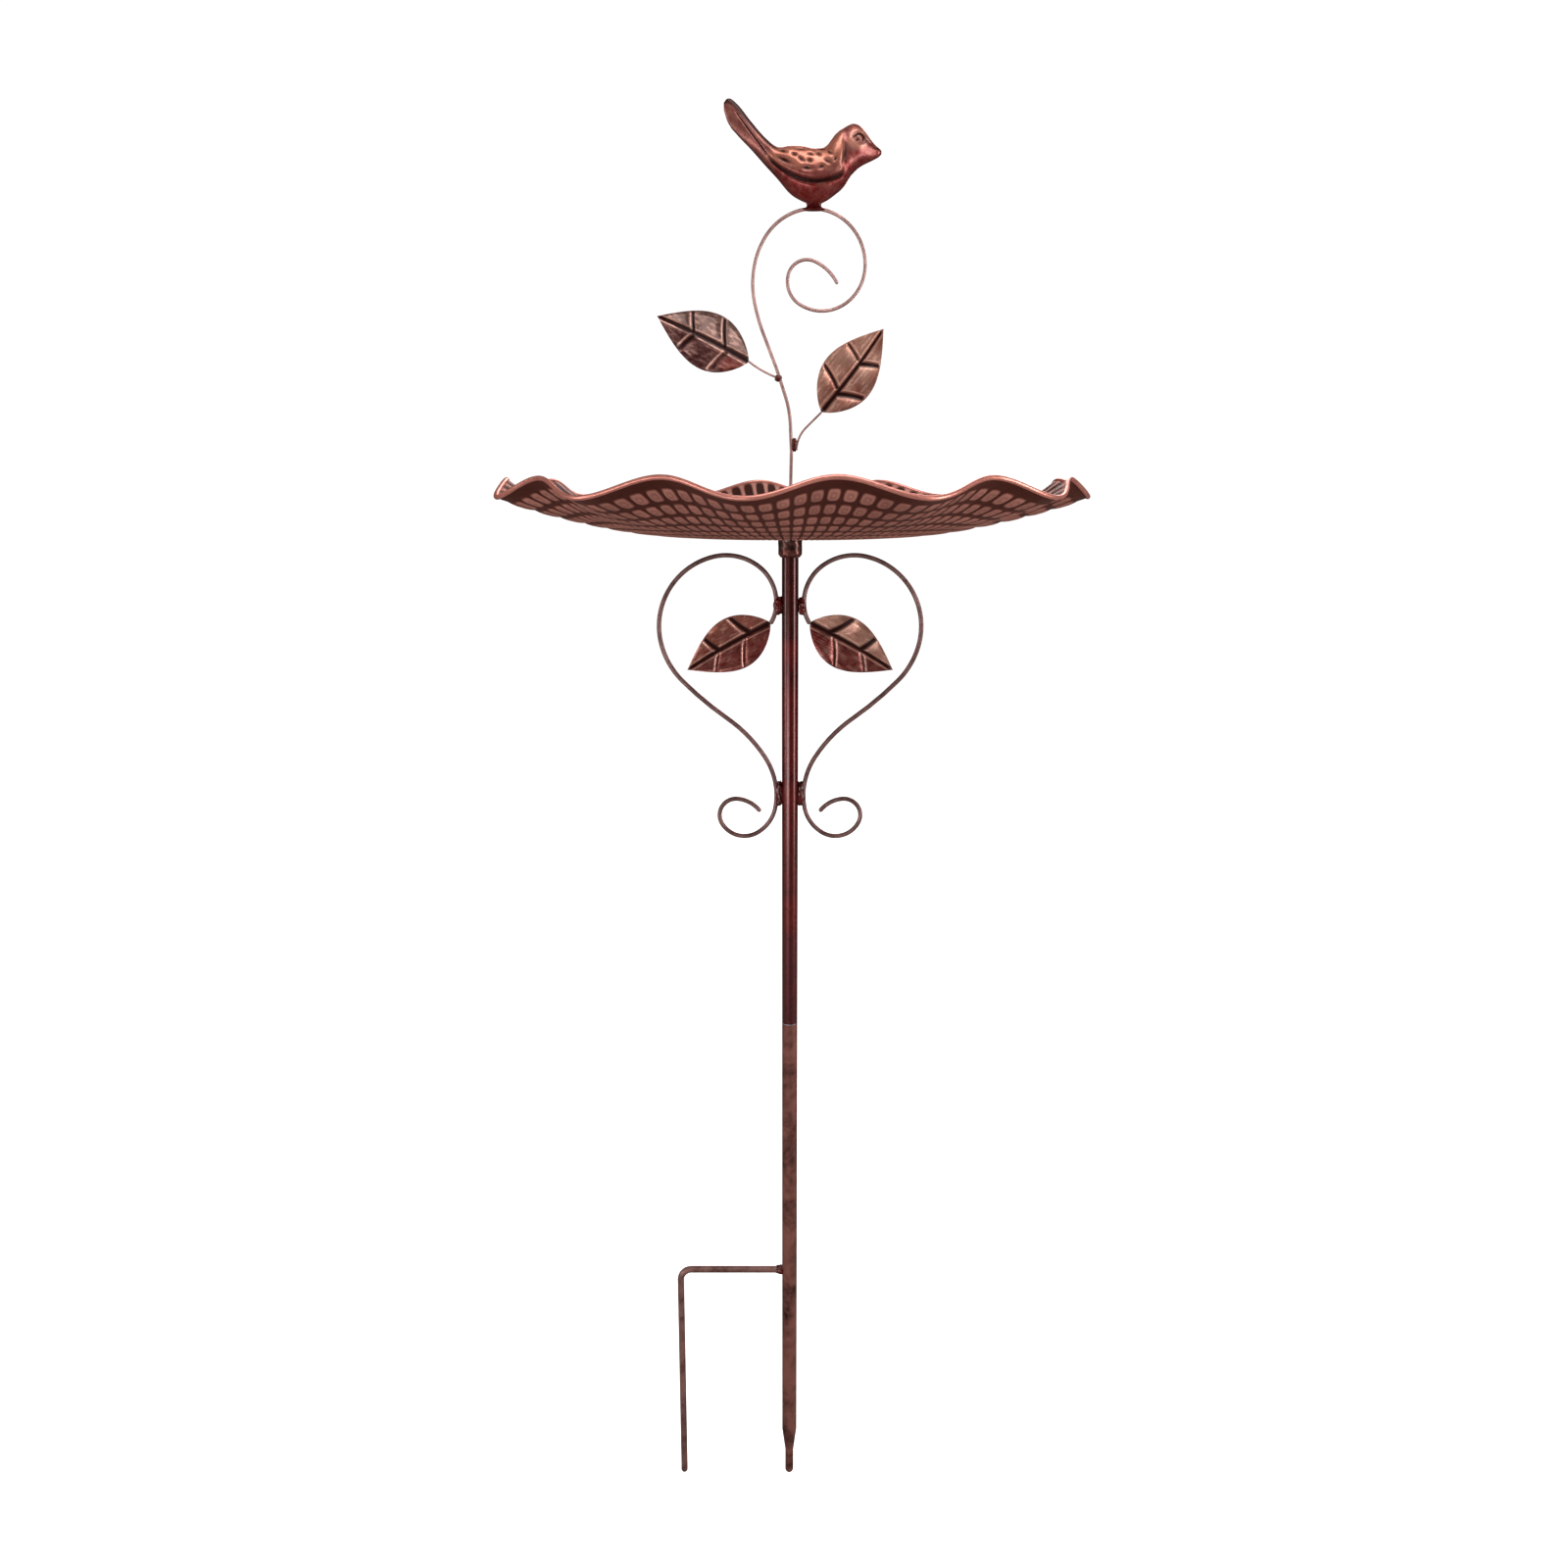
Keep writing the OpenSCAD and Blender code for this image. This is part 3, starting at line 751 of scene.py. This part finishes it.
def leaf_surface(base, heading, veins, depth):
    """A stamped leaf: half width is w/2 (sin(180 t^0.8))^0.97, cupped by v^2 towards the front,
    pillowed between its veins and pressed in along them; both sides share the relief, so the sheet
    keeps its thickness."""
    rows, columns = 170, 100
    t = np.linspace(0, 1, rows)[:, None] ** 1.1
    v = np.linspace(-1, 1, columns)[None, :]
    half = np.maximum(0.35, LEAF_W / 2 * np.sin(math.pi * t ** 0.8) ** 0.97)
    along = LEAF_L * t + 0 * v
    across = half * v
    groove, fill, wear_and_highlight, near = leaf_marks(along, across, half, veins)
    share = half / (LEAF_W / 2)
    pillow = (1 - near) * 1.2 * share * np.clip((1 - v * v) * 3, 0, 1)
    depth_in = groove * depth * np.clip(half / 3, 0, 1) - wear_and_highlight * 0.25
    front = -LEAF_CUP * v * v * share * 0.8 - pillow + depth_in
    h = math.radians(heading)
    x = base[0] + along * math.cos(h) - across * math.sin(h)
    z = base[1] + along * math.sin(h) + across * math.cos(h)
    sheets = [stacked(x, front + side * LEAF_T / 2, z) for side in (-1, 1)]
    loop = np.concatenate([sheets[0], sheets[1][:, ::-1]], axis=1)
    caps = end_caps(rows, 2 * columns)
    parts = [fill, wear_and_highlight, across / (LEAF_W / 2), along / LEAF_L]
    both = [np.concatenate([part, part[:, ::-1]], axis=1).ravel() for part in parts]
    return loop.reshape(-1, 3), grid_quads(rows, 2 * columns, False, True), caps, both


class BIRDBATH_OT_leaves(bpy.types.Operator):
    """Make the four stamped leaves"""

    bl_idname = "bird_bath.leaves"
    bl_label = "Leaves"

    def execute(self, context):
        palette = colours()
        depth = sizes().vein_depth / MM
        red = hollow_metal("Red copper leaf", palette.leaf_red, palette.leaf_rust, palette.bird_crimson)
        rust = hollow_metal("Rubbed copper leaf", palette.leaf_red, palette.leaf_gold, palette.bird_crimson)
        gold = hollow_metal("Gold copper leaf", palette.leaf_rust, palette.leaf_gold, palette.leaf_red)
        pewter = hollow_metal("Pewter leaf", palette.plum, palette.leaf_pewter, palette.leaf_red)
        hang = 209.5
        near = [SCROLL_X + 0.8 * math.cos(math.radians(hang)), SCROLL_Z + 0.8 * math.sin(math.radians(hang))]
        left_tip = LEFT_STALK[-1, :2] + (-0.4, 0.2)
        right_tip = RIGHT_STALK[-1, :2] + (0.3, 0.4)
        for name, base, heading, veins, finish, body, slot, seed, bright, dirt in (
            ("left_leaf", near, hang, RED_VEINS, red, "upper_pole", "red_leaf", 31, 0.35, 0.5),
            ("right_leaf", near, hang, RUST_VEINS, rust, "upper_pole", "red_leaf", 37, 0.5, 0.8),
            (
                "upper_left_leaf", left_tip, 154.5, PEWTER_VEINS, pewter, "ornament", "pewter_leaf",
                41, 0.45, 0.8,
            ),
            ("upper_right_leaf", right_tip, 52.5, GOLD_VEINS, gold, "ornament", "gold_leaf", 43, 0.8, 0.45),
        ):
            points, quads, caps, (fill, wear_and_highlight, across, along) = leaf_surface(base, heading, veins, depth)
            if name == "right_leaf":
                points, quads, caps = mirrored(points, quads, caps)
            cloudy = wave_noise(points, 11, 3)
            if name == "upper_right_leaf":
                tone = 0.8 + 0.5 * cloudy
                accent = smooth_step(0.35, 1.0, -across + 0.3 * cloudy) * smooth_step(0.4, 0.0, along)
            else:
                tone = smooth_step(-0.15, 0.25, -across + 0.12 * cloudy) * (0.85 + 0.25 * cloudy)
                accent = smooth_step(0.0, 0.5, across + 0.3 * cloudy)
                accent = accent * smooth_step(0.42, 0.3, along + 0.2 * across)
            rubbed, dirty = leaf_wear(along * LEAF_L, across * LEAF_W / 2, seed)
            light_half = 0.45 + 0.55 * np.clip(tone, 0, 1)
            # Lips and brushed streaks, more on the lighter half, turn bright: rubbed wear and a painted
            # highlight
            wear_and_highlight = np.clip(wear_and_highlight + rubbed * bright * light_half * (1 - fill), 0, 1)
            hollow = np.clip(np.maximum(fill * 1.6 - 0.25, dirty * dirt * (1.3 - light_half)), 0, 1)
            fields = {"tone": np.clip(tone, 0, 1), "hollow": hollow, "wear_and_highlight": wear_and_highlight}
            fields["accent"] = np.clip(accent, 0, 1)
            add_piece(
                name + "_sheet", points, quads, body, [name], finish, caps=caps, fields=fields,
            )
        return {"FINISHED"}


# ------------------------ bird

BIRD_X, BIRD_Z = 14.0, DISH_Z + 183.9
SEAM = 0.005  # half the gap between the bird's halves
# The bird's sections along X: x, lower z, upper z and half width, from the tail to the beak
BIRD_SECTIONS = np.array([
    [-51.2, 49.2, 52.8, 0.9], [-49.8, 44.6, 54.6, 1.4], [-47.8, 40.8, 55, 1.8],
    [-44, 36.5, 52.4, 2.5], [-36, 28.7, 43.2, 4.5], [-28, 20.4, 34.6, 7], [-22, 14.4, 30, 8.5],
    [-14, 5.8, 30.4, 10.5], [-7, 1.9, 30.1, 11.5], [0, 0, 29, 11.8], [6, 2.1, 30.3, 11.5],
    [11, 5.3, 36.3, 11], [16, 9.5, 39.9, 10], [20.6, 15.9, 41.9, 9.2], [24.5, 19.5, 40.9, 8.2],
    [28.4, 21.6, 37.2, 6], [31, 22.7, 33.8, 4.3], [33.6, 23.9, 31, 2.9], [35.8, 25.2, 29.2, 1.9],
    [36.9, 26.3, 28.2, 0.8],
])
# Feather marks on the wing: x, z, half length, half height and lean in degrees
FEATHERS = [
    (-17.5, 21.2, 5.2, 1.6, -24), (-5, 16.6, 3.2, 1.2, -4), (-18.5, 26.3, 2.6, 0.9, -20),
    (-12.1, 24.2, 1.9, 0.9, -25), (-8.3, 21.4, 2.4, 1.0, -38), (-2.9, 24.4, 1.7, 0.9, -10),
    (-3.4, 20.6, 1.6, 1.3, 0), (1.4, 24.6, 1.8, 0.9, -40), (7.5, 25.0, 2.2, 0.9, -35),
    (6.2, 20.2, 2.0, 0.9, -30), (3.0, 17.3, 1.8, 1.1, 25), (-8.5, 27.3, 2.6, 0.6, -4),
    (3.5, 27.3, 2.0, 0.6, -12), (10.5, 21.5, 1.6, 0.8, 50),
]


def bird_profile(x):
    """Lower z, upper z and half width at x: cubic Hermite curves through the sections with slopes
    from their neighbours."""
    stations = BIRD_SECTIONS[:, 0]
    slopes = np.gradient(BIRD_SECTIONS[:, 1:], stations, axis=0)
    i = np.clip(np.searchsorted(stations, x, side="right") - 1, 0, len(stations) - 2)
    step = stations[i + 1] - stations[i]
    t = ((x - stations[i]) / step)[:, None]
    first, second = BIRD_SECTIONS[i, 1:], BIRD_SECTIONS[i + 1, 1:]
    m0, m1 = slopes[i] * step[:, None], slopes[i + 1] * step[:, None]
    return (
        (2 * t ** 3 - 3 * t ** 2 + 1) * first + (t ** 3 - 2 * t ** 2 + t) * m0
        + (3 * t ** 2 - 2 * t ** 3) * second + (t ** 3 - t ** 2) * m1
    )


def bird_marks(x, z):
    """(hollow, wing, halo) of the bird's side at x, z: feather marks are leaning Gaussian dimples,
    the wing is a raised lens over its parabolic lower edge, the eye is a ring with a halo, and the
    cheek and the tail's rib are bent and straight grooves."""
    edge = 10.6 + 0.0185 * x * x
    on_wing = smooth_step(-29, -23, x) * (1 - smooth_step(13.5, 16.5, x))
    over = z - edge
    wing = smooth_step(0, 1.8, over) * on_wing
    hollow = bell((over + 0.4) / (1.5 - 0.02 * np.abs(x))) * on_wing
    for fx, fz, half_l, half_h, lean in FEATHERS:
        c, s = math.cos(math.radians(lean)), math.sin(math.radians(lean))
        a, b = (x - fx) * c + (z - fz) * s, -(x - fx) * s + (z - fz) * c
        hollow = np.maximum(hollow, 0.9 * bell(a / half_l, b / half_h))
    eye = np.hypot((x - 24.0) / 1.15, z - 33.0)
    ring = bell((eye - 2.2) / 0.75) * (0.25 + 0.75 * smooth_step(-2.0, 1.2, z - 33 + 0.3 * (x - 24)))
    pupil = bell((x - 23.0) / 1.2, (z - 32.0) / 1.0)
    brow = bell((z - 31.4 + (x - 29.5) * 0.5) / 0.7) * bell((x - 28.6) / 2.2)
    slit = bell((x - 34.6) / 2.0, (z - 28.9 + (x - 34.6) * 0.35) / 0.7)
    bend = x - 16.0 + 0.035 * (z - 26) ** 2
    cheek = 0.8 * bell(bend / 1.1) * bell((z - 24.5) / 5.0)
    tail_mid = 46.6 - (x + 43.6) * 1.33
    tail = smooth_step(-46, -43, x) * (1 - smooth_step(-30, -25, x))
    rib = 0.9 * bell((z - tail_mid) / 0.85) * tail
    hollow = np.max([hollow, ring, pupil, 0.8 * brow, slit, cheek, rib], axis=0)
    cheek_spot = bell((x - 21.0) / 2.6, (z - 30.0) / 3.2)
    halo = np.maximum(0.8 * bell((eye - 4.2) / 1.2) + bell(eye / 1.3), cheek_spot)
    return hollow, wing, halo


class BIRDBATH_OT_bird(bpy.types.Operator):
    """Make the bird's two stamped halves"""

    bl_idname = "bird_bath.bird"
    bl_label = "Bird"

    def execute(self, context):
        """Each half is an arc of an ellipse in every section outside, and a smaller one inside:
        y = side * width * (cos u)^0.85, z = middle + height * sin u."""
        palette = colours()
        finish = hollow_metal(
            "Antique bird copper", palette.bird_rose, palette.bird_gold, palette.bird_crimson
        )
        depth = sizes().feather_depth / MM
        rows, arc = 260, 76
        x = np.linspace(BIRD_SECTIONS[0, 0], BIRD_SECTIONS[-1, 0], rows)
        low, high, wide = (column[:, None] for column in bird_profile(x).T)
        middle, tall = (low + high) / 2, (high - low) / 2
        u = np.linspace(-math.pi / 2, math.pi / 2, arc)[None, :]
        z = middle + tall * np.sin(u)
        along = x[:, None] + 0 * u
        hollow, wing, halo = bird_marks(along, z)
        push = (wing + halo * 0.3 - hollow * 2 * depth) * np.cos(u) ** 0.5 * np.clip(wide / 4, 0, 1)
        outer_y = SEAM + np.maximum(wide * np.abs(np.cos(u)) ** 0.85 + push, 0.0)
        in_wide, in_tall = np.maximum(wide - 2.0, wide * 0.3), np.maximum(tall - 1.0, tall * 0.4)
        inner_y, inner_z = SEAM + in_wide * np.cos(u), middle + in_tall * np.sin(u)
        share = (z - low) / np.maximum(high - low, 0.1)
        head = smooth_step(9, 19, along)
        body = smooth_step(-30, -20, along)
        cloudy = wave_noise(stacked(along, 0, z), 9, 21).reshape(z.shape)
        tone = np.maximum(wing * 0.85 * smooth_step(10, 24, z), halo * head * 0.7)
        tone = tone + 0.1 * head * smooth_step(0.35, 0.9, share)
        tone = np.clip(tone + 0.3 * cloudy - 0.05, 0, 1)
        low_half = smooth_step(0.62, 0.22, share + 0.12 * cloudy) * body * (1 - wing)
        face = head * smooth_step(25, 30, along) * smooth_step(1.0, 0.5, share)
        under = wing * smooth_step(19, 13, z + 2 * cloudy) * 0.5
        crown = head * smooth_step(0.62, 0.9, share) * 0.3
        accent = np.clip(np.max([low_half, 0.8 * face, under, crown], axis=0), 0, 1)
        # Painted shade along the tail's top and bottom edges joins the feather marks' dark paint in the
        # hollow field
        tail_edge_shade = np.maximum(smooth_step(0.68, 0.84, share), smooth_step(0.1, 0.03, share) * 0.6)
        shade = np.maximum(hollow * 1.4 - 0.15, tail_edge_shade * smooth_step(-18, -26, along) * 0.9)
        fields = {"hollow": np.clip(shade, 0, 1), "tone": tone, "accent": accent, "wear_and_highlight": halo * head * 0.3}
        fields = {
            key: np.concatenate([value, np.zeros_like(value)], axis=1).ravel()
            for key, value in fields.items()
        }
        for side, name in ((-1, "bird_front_shell"), (1, "bird_back_shell")):
            outer, inner = stacked(along, side * outer_y, z), stacked(along, side * inner_y, inner_z)
            points = np.concatenate([outer, inner[:, ::-1]], axis=1).reshape(-1, 3) + (BIRD_X, 0, BIRD_Z)
            quads = grid_quads(rows, 2 * arc, False, True)
            caps = end_caps(rows, 2 * arc)
            if side > 0:
                quads, caps = quads[:, ::-1], tuple(cap[::-1] for cap in caps)
            add_piece(
                name + "_sheet", points, quads, "ornament", [name], finish, caps=caps,
                fields=fields,
            )
        return {"FINISHED"}


# ------------------------ welds


def lump_surface(centre, radii, bumps, seed):
    """Lumpy weld bead: an ellipsoid centre + radii * (cos a cos b, cos a sin b, sin a), squared a
    little and pushed in and out by a share of seeded smooth noise."""
    rows, columns = 36, 48
    a = np.linspace(-math.pi / 2, math.pi / 2, rows)[1:-1, None]
    b = round_angles(columns)
    flat = stacked(np.cos(a) * np.cos(b), np.cos(a) * np.sin(b), np.sin(a))
    unit = np.concatenate([flat.reshape(-1, 3), [[0, 0, -1], [0, 0, 1]]])
    squared = np.sign(unit) * np.abs(unit) ** 0.85
    places = unit * 2.2
    swell = 1 + bumps * wave_noise(places, 1.6, seed) + bumps * 0.5 * wave_noise(places, 0.6, seed + 1)
    points = np.asarray(centre) + squared * np.asarray(radii) * swell[:, None]
    quads = grid_quads(rows - 2, columns, False, True)[:, ::-1]
    south, north, top = len(points) - 2, len(points) - 1, (rows - 3) * columns
    caps = [(i, south, (i + 1) % columns) for i in range(columns)]
    caps += [(top + (i + 1) % columns, north, top + i) for i in range(columns)]
    return points, quads, caps


class BIRDBATH_OT_welds(bpy.types.Operator):
    """Make the weld beads"""

    bl_idname = "bird_bath.welds"
    bl_label = "Welds"

    def execute(self, context):
        palette = colours()
        finish = painted_metal("Painted weld", palette.pole_maroon, palette.shadow)
        upper_x, lower_x = POLE_R + 1.9, POLE_R + 1.6
        for name, centre, radii, seed in (
            ("upper_left_weld", (-upper_x, 0, SCROLL_Z + 10.1), (2.9, 2.4, 5.4), 1),
            ("upper_right_weld", (upper_x, 0, SCROLL_Z + 9.6), (2.8, 2.4, 5.0), 2),
            ("lower_left_weld", (-lower_x, 0, SCROLL_Z - 106.5), (2.6, 2.3, 7.6), 3),
            ("lower_right_weld", (lower_x, 0, SCROLL_Z - 106.5), (2.6, 2.3, 7.6), 4),
        ):
            points, quads, caps = lump_surface(centre, radii, 0.15, seed)
            add_piece(name + "_bead", points, quads, "upper_pole", [name], finish, caps=caps)
        points, quads, caps = lump_surface((-POLE_R - 0.6, 0, CROSSBAR_Z), (4.0, 3.0, 3.0), 0.1, 7)
        add_piece("prong_weld_bead", points, quads, "stake", ["prong_weld"], finish, caps=caps)
        points, quads, caps = lump_surface((-7.0, 0, DISH_Z + 90.0), (2.1, 1.5, 1.9), 0.1, 9)
        add_piece("left_stalk_bead", points, quads, "ornament", ["stalk_welds"], finish, caps=caps)
        points, quads, caps = lump_surface((2.3, 0, DISH_Z + 52.6), (1.6, 1.5, 3.9), 0.1, 11)
        add_piece("right_stalk_bead", points, quads, "ornament", [], finish, caps=caps)
        dark = hollow_metal("Dark coupling paint", palette.shadow, palette.pole_maroon, palette.shadow)
        r, inner, top = SOCKET_R, POLE_R + 0.05, DISH_Z
        self.add_turned("coupling_sleeve", "bowl_socket", "upper_tube", dark, 0, [
            (inner, top - 0.02), *((r + 0.02 * k, top - 0.02 - 0.5 * k) for k in range(6)),
            *((r - 0.02 * (k % 2), top - 3.0 - 0.75 * k) for k in range(11)),
            (r - 0.1, SOCKET_LOW + 1.7), (r - 1.4, SOCKET_LOW + 0.1), (inner, SOCKET_LOW + 0.05),
        ], 0.016, 1.0)
        self.add_turned("socket_weld", "socket_weld", "weld", dark, 0, [
            (r - 0.6, top - 0.06), (r + 2.0, top - 0.06), (r + 1.5, top - 0.5), (r + 1.1, top - 0.9),
            (r + 0.7, top - 1.4), (r + 0.3, top - 2.0), (r - 0.6, top - 2.1),
        ], 0.03, 1.0)
        z = BIRD_Z
        foot_red = [channel * 0.45 for channel in palette.bird_crimson]
        red = painted_metal("Bird foot paint", foot_red, palette.shadow)
        self.add_turned("bird_foot", "bird_weld", "weld", red, BIRD_X - 0.8, [
            (0.02, z + 2.4), (4.0, z + 2.2), (5.0, z + 1.6), (4.5, z + 0.8), (4.1, z), (4.2, z - 0.8),
            (4.9, z - 1.6), (6.4, z - 2.2), (7.2, z - 2.7), (5.2, z - 3.2), (0.02, z - 3.3),
        ], 0.03, 0.36)
        return {"FINISHED"}

    def add_turned(self, name, node, slot, finish, axis_x, outline, wobble, squeeze):
        """An outline of (radius, height) turned round a vertical axis with a radius that seeded noise
        moves by a share, and squeezed along Y. The coupling and its fillet are closed rings, and the
        bird's waisted foot is closed by its two small ends."""
        sides = 72
        radius, height = np.array(outline, dtype=float).T[:, :, None]
        u = round_angles(sides)
        around = stacked(6 * np.cos(u), 6 * np.sin(u), height)
        lumps = wave_noise(around, 3.2, 5).reshape(len(outline), sides)
        ring = outline[0][0] > 0.1
        outside = radius > (POLE_R + 0.5 if ring else 0.1)
        reach = radius * (1 + wobble * lumps * outside)
        points = stacked(axis_x + reach * np.cos(u), reach * np.sin(u) * squeeze, height)
        caps = () if ring else end_caps(len(outline), sides)
        tone = np.clip(smooth_step(5.5, 3.5, height - height.min()) * 0.8 + 0.5 * lumps, 0, 1)
        # The lump tops turn bright: rubbed wear and a painted highlight
        fields = {
            "tone": tone.ravel(), "hollow": np.clip(-lumps * 1.2, 0, 1).ravel() * 0.7,
            "wear_and_highlight": np.clip(lumps * 1.5 - 0.8, 0, 1).ravel() * 0.2, "accent": 0 * lumps.ravel(),
        }
        body = "ornament" if node == "bird_weld" else "dish"
        add_piece(
            name + "_shape", points.reshape(-1, 3), grid_quads(len(outline), sides, ring, True), body,
            [node], finish, caps=caps, fields=fields,
        )


# ------------------------ metal finishes of the CAD pieces


class BIRDBATH_OT_metals(bpy.types.Operator):
    """Give the tubes, rods and fittings their finishes"""

    bl_idname = "bird_bath.metals"
    bl_label = "Metal finishes"

    def execute(self, context):
        palette = colours()
        upper = painted_metal("Gloss red-brown paint", palette.pole_maroon, palette.shadow)
        self.add_zone(upper, palette.plum, POLE_LOW[2] + 68, POLE_LOW[2] + 56, 0.75)
        # Painted shade: the upper pole darkens towards its top, under the dish
        self.add_zone(upper, palette.shadow, POLE_TOP - 62, POLE_TOP - 38, 0.6)
        lower = painted_metal("Matte brown paint", palette.pole_brown, palette.shadow)
        prong = painted_metal("Worn prong paint", palette.prong_brown, palette.shadow)
        zinc = painted_metal("Zinc plate", (0.27, 0.27, 0.28), (0.16, 0.16, 0.17), WHITE)
        rubber = painted_metal("Black rubber", (0.02, 0.02, 0.02), (0.01, 0.01, 0.01), WHITE)
        finishes = {
            "upper_pole": upper, "lower_pole": lower, "ground_prong": prong,
            "pole_spigot": zinc, "pole_stud": zinc, "stud_washer": zinc, "ornament_stud": zinc,
            "seal_washer": rubber,
        }
        for node, finish in finishes.items():
            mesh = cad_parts[node].data
            mesh.materials.clear()
            mesh.materials.append(finish)
        return {"FINISHED"}

    def add_zone(self, material, colour, clear, full, most):
        """Turn the base colour to another one by a share that grows from 0 at one height to the most
        at another."""
        tree = material.node_tree
        shader = tree.nodes["Principled BSDF"]
        before = shader.inputs["Base Color"].links[0].from_socket
        place, split = new_node(tree, "TexCoord"), new_node(tree, "SeparateXYZ")
        tree.links.new(place.outputs["Object"], split.inputs[0])
        share = ramp(tree, split.outputs["Z"], clear * MM, full * MM)
        tree.links.new(mix_part(tree, share, most, before, colour), shader.inputs["Base Color"])


# ------------------------ stage

# Metres and degrees; the camera looks down by its tilt
CAMERA_PLACE, CAMERA_TILT, CAMERA_LENS, SENSOR_W = (-0.0037, -0.7888, 0.5248), 12.7, 29.86, 36.0
FLOOR_R, FLOOR_GAP, FLOOR_SIDES = 8, 0.0005, 64
# Area lights: place, target, width and height, and power
LIGHTS = {
    "right_strip": ((1.65, -0.8, 0.45), (0, 0, 0.35), (0.5, 1.6), 30),
    "left_panel": ((-1.7, -0.6, 0.6), (0, 0, 0.35), (0.5, 1.3), 14),
    "over": ((0.2, -0.8, 2.1), (0, 0, 0.45), (1.1, 1.1), 26),
    "low_front": ((-0.9, -1.5, -0.02), (0, 0, 0.5), (1.1, 0.3), 12),
    "back": ((0.4, 1.6, 1.3), (0, 0, 0.4), (1.0, 1.0), 15),
}


class BIRDBATH_OT_stage(bpy.types.Operator):
    """Add the floor, the lights and the camera"""

    bl_idname = "bird_bath.stage"
    bl_label = "Stage"

    def execute(self, context):
        scene = context.scene
        data = bpy.data.cameras.new("camera")
        camera = bpy.data.objects.new("camera", data)
        scene.collection.objects.link(camera)
        camera.location = CAMERA_PLACE
        camera.rotation_euler = (math.radians(90 - CAMERA_TILT), 0, 0)
        data.lens, data.sensor_width = CAMERA_LENS, SENSOR_W
        data.clip_start, data.clip_end = 0.01, 50
        scene.camera = camera
        self.add_floor(scene)
        for name, light in LIGHTS.items():
            self.add_light(scene, name, *light)
        scene.view_settings.view_transform = "Standard"
        self.set_world(scene)
        return {"FINISHED"}

    def add_floor(self, scene):
        """A flat pale disc, far wider than the view, just under the ground points."""
        mesh = bpy.data.meshes.new("floor")
        turn = round_angles(FLOOR_SIDES)[0]
        ring = stacked(FLOOR_R * np.cos(turn), FLOOR_R * np.sin(turn), CAD_LOW[2] - FLOOR_GAP)
        mesh.from_pydata(ring.tolist(), [], [list(range(FLOOR_SIDES))])
        floor = bpy.data.objects.new("floor", mesh)
        scene.collection.objects.link(floor)
        material = bpy.data.materials.new("Pale floor")
        material.use_nodes = True
        tree = material.node_tree
        shader = tree.nodes["Principled BSDF"]
        shader.inputs["Roughness"].default_value = 0.9
        shader.inputs["Emission Color"].default_value = WHITE
        seen = new_node(tree, "LightPath").outputs["Is Camera Ray"]
        grey, pale = (0.3, 0.29, 0.28), (0.93, 0.93, 0.93)
        wire_up(
            tree,
            (mix_colour(tree, seen, grey, pale), shader.inputs["Base Color"]),
            (times(tree, seen, 0.92), shader.inputs["Emission Strength"]),
        )
        mesh.materials.append(material)
        floor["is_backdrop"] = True

    def add_light(self, scene, name, place, target, size, power):
        data = bpy.data.lights.new(name, "AREA")
        data.shape, data.energy = "RECTANGLE", power
        data.size, data.size_y = size
        light = bpy.data.objects.new(name, data)
        light.location = place
        away = np.array(place) - np.array(target)
        flat = math.hypot(away[0], away[1])
        light.rotation_euler = (math.atan2(flat, away[2]), 0, math.atan2(away[1], away[0]) + math.pi / 2)
        scene.collection.objects.link(light)

    def set_world(self, scene):
        world = bpy.data.worlds.new("Soft studio")
        world.use_nodes = True
        tree = world.node_tree
        tree.nodes.clear()
        lit = new_node(tree, "Background", values=[("Color", (1, 0.84, 0.8, 1)), ("Strength", 0.12)])
        seen = new_node(tree, "Background", values=[("Color", WHITE), ("Strength", 1.05)])
        rays, mix = new_node(tree, "LightPath"), new_node(tree, "MixShader")
        out = new_node(tree, "OutputWorld")
        wire_up(
            tree,
            (rays.outputs["Is Camera Ray"], mix.inputs[0]),
            (lit.outputs[0], mix.inputs[1]),
            (seen.outputs[0], mix.inputs[2]),
            (mix.outputs[0], out.inputs["Surface"]),
        )
        scene.world = world


# ------------------------ add-on

OPERATORS = (
    BIRDBATH_OT_dish, BIRDBATH_OT_wires, BIRDBATH_OT_leaves, BIRDBATH_OT_bird, BIRDBATH_OT_welds,
    BIRDBATH_OT_metals, BIRDBATH_OT_stage,
)


class BIRDBATH_PT_panel(bpy.types.Panel):
    """Lists the bird bath's operators, sizes and colours"""

    bl_idname = "BIRDBATH_PT_panel"
    bl_label = "Bird Bath"
    bl_space_type = "VIEW_3D"
    bl_region_type = "UI"
    bl_category = SIDEBAR

    def draw(self, context):
        for operator in OPERATORS:
            self.layout.operator(operator.bl_idname)
        for group in (sizes(), colours()):
            for key in group.bl_rna.properties.keys():
                if key not in ("rna_type", "name"):
                    self.layout.prop(group, key)


CLASSES = (BirdBathSizes, BirdBathColours, *OPERATORS, BIRDBATH_PT_panel)


def register():
    for one in CLASSES:
        bpy.utils.register_class(one)
    bpy.types.Scene.bird_bath_sizes = bpy.props.PointerProperty(type=BirdBathSizes)
    bpy.types.Scene.bird_bath_colours = bpy.props.PointerProperty(type=BirdBathColours)


def unregister():
    del bpy.types.Scene.bird_bath_sizes
    del bpy.types.Scene.bird_bath_colours
    for one in reversed(CLASSES):
        bpy.utils.unregister_class(one)


def main():
    register()
    bpy.ops.bird_bath.dish()
    bpy.ops.bird_bath.wires()
    bpy.ops.bird_bath.leaves()
    bpy.ops.bird_bath.bird()
    bpy.ops.bird_bath.welds()
    bpy.ops.bird_bath.metals()
    bpy.ops.bird_bath.stage()


if __name__ == "__main__":
    main()
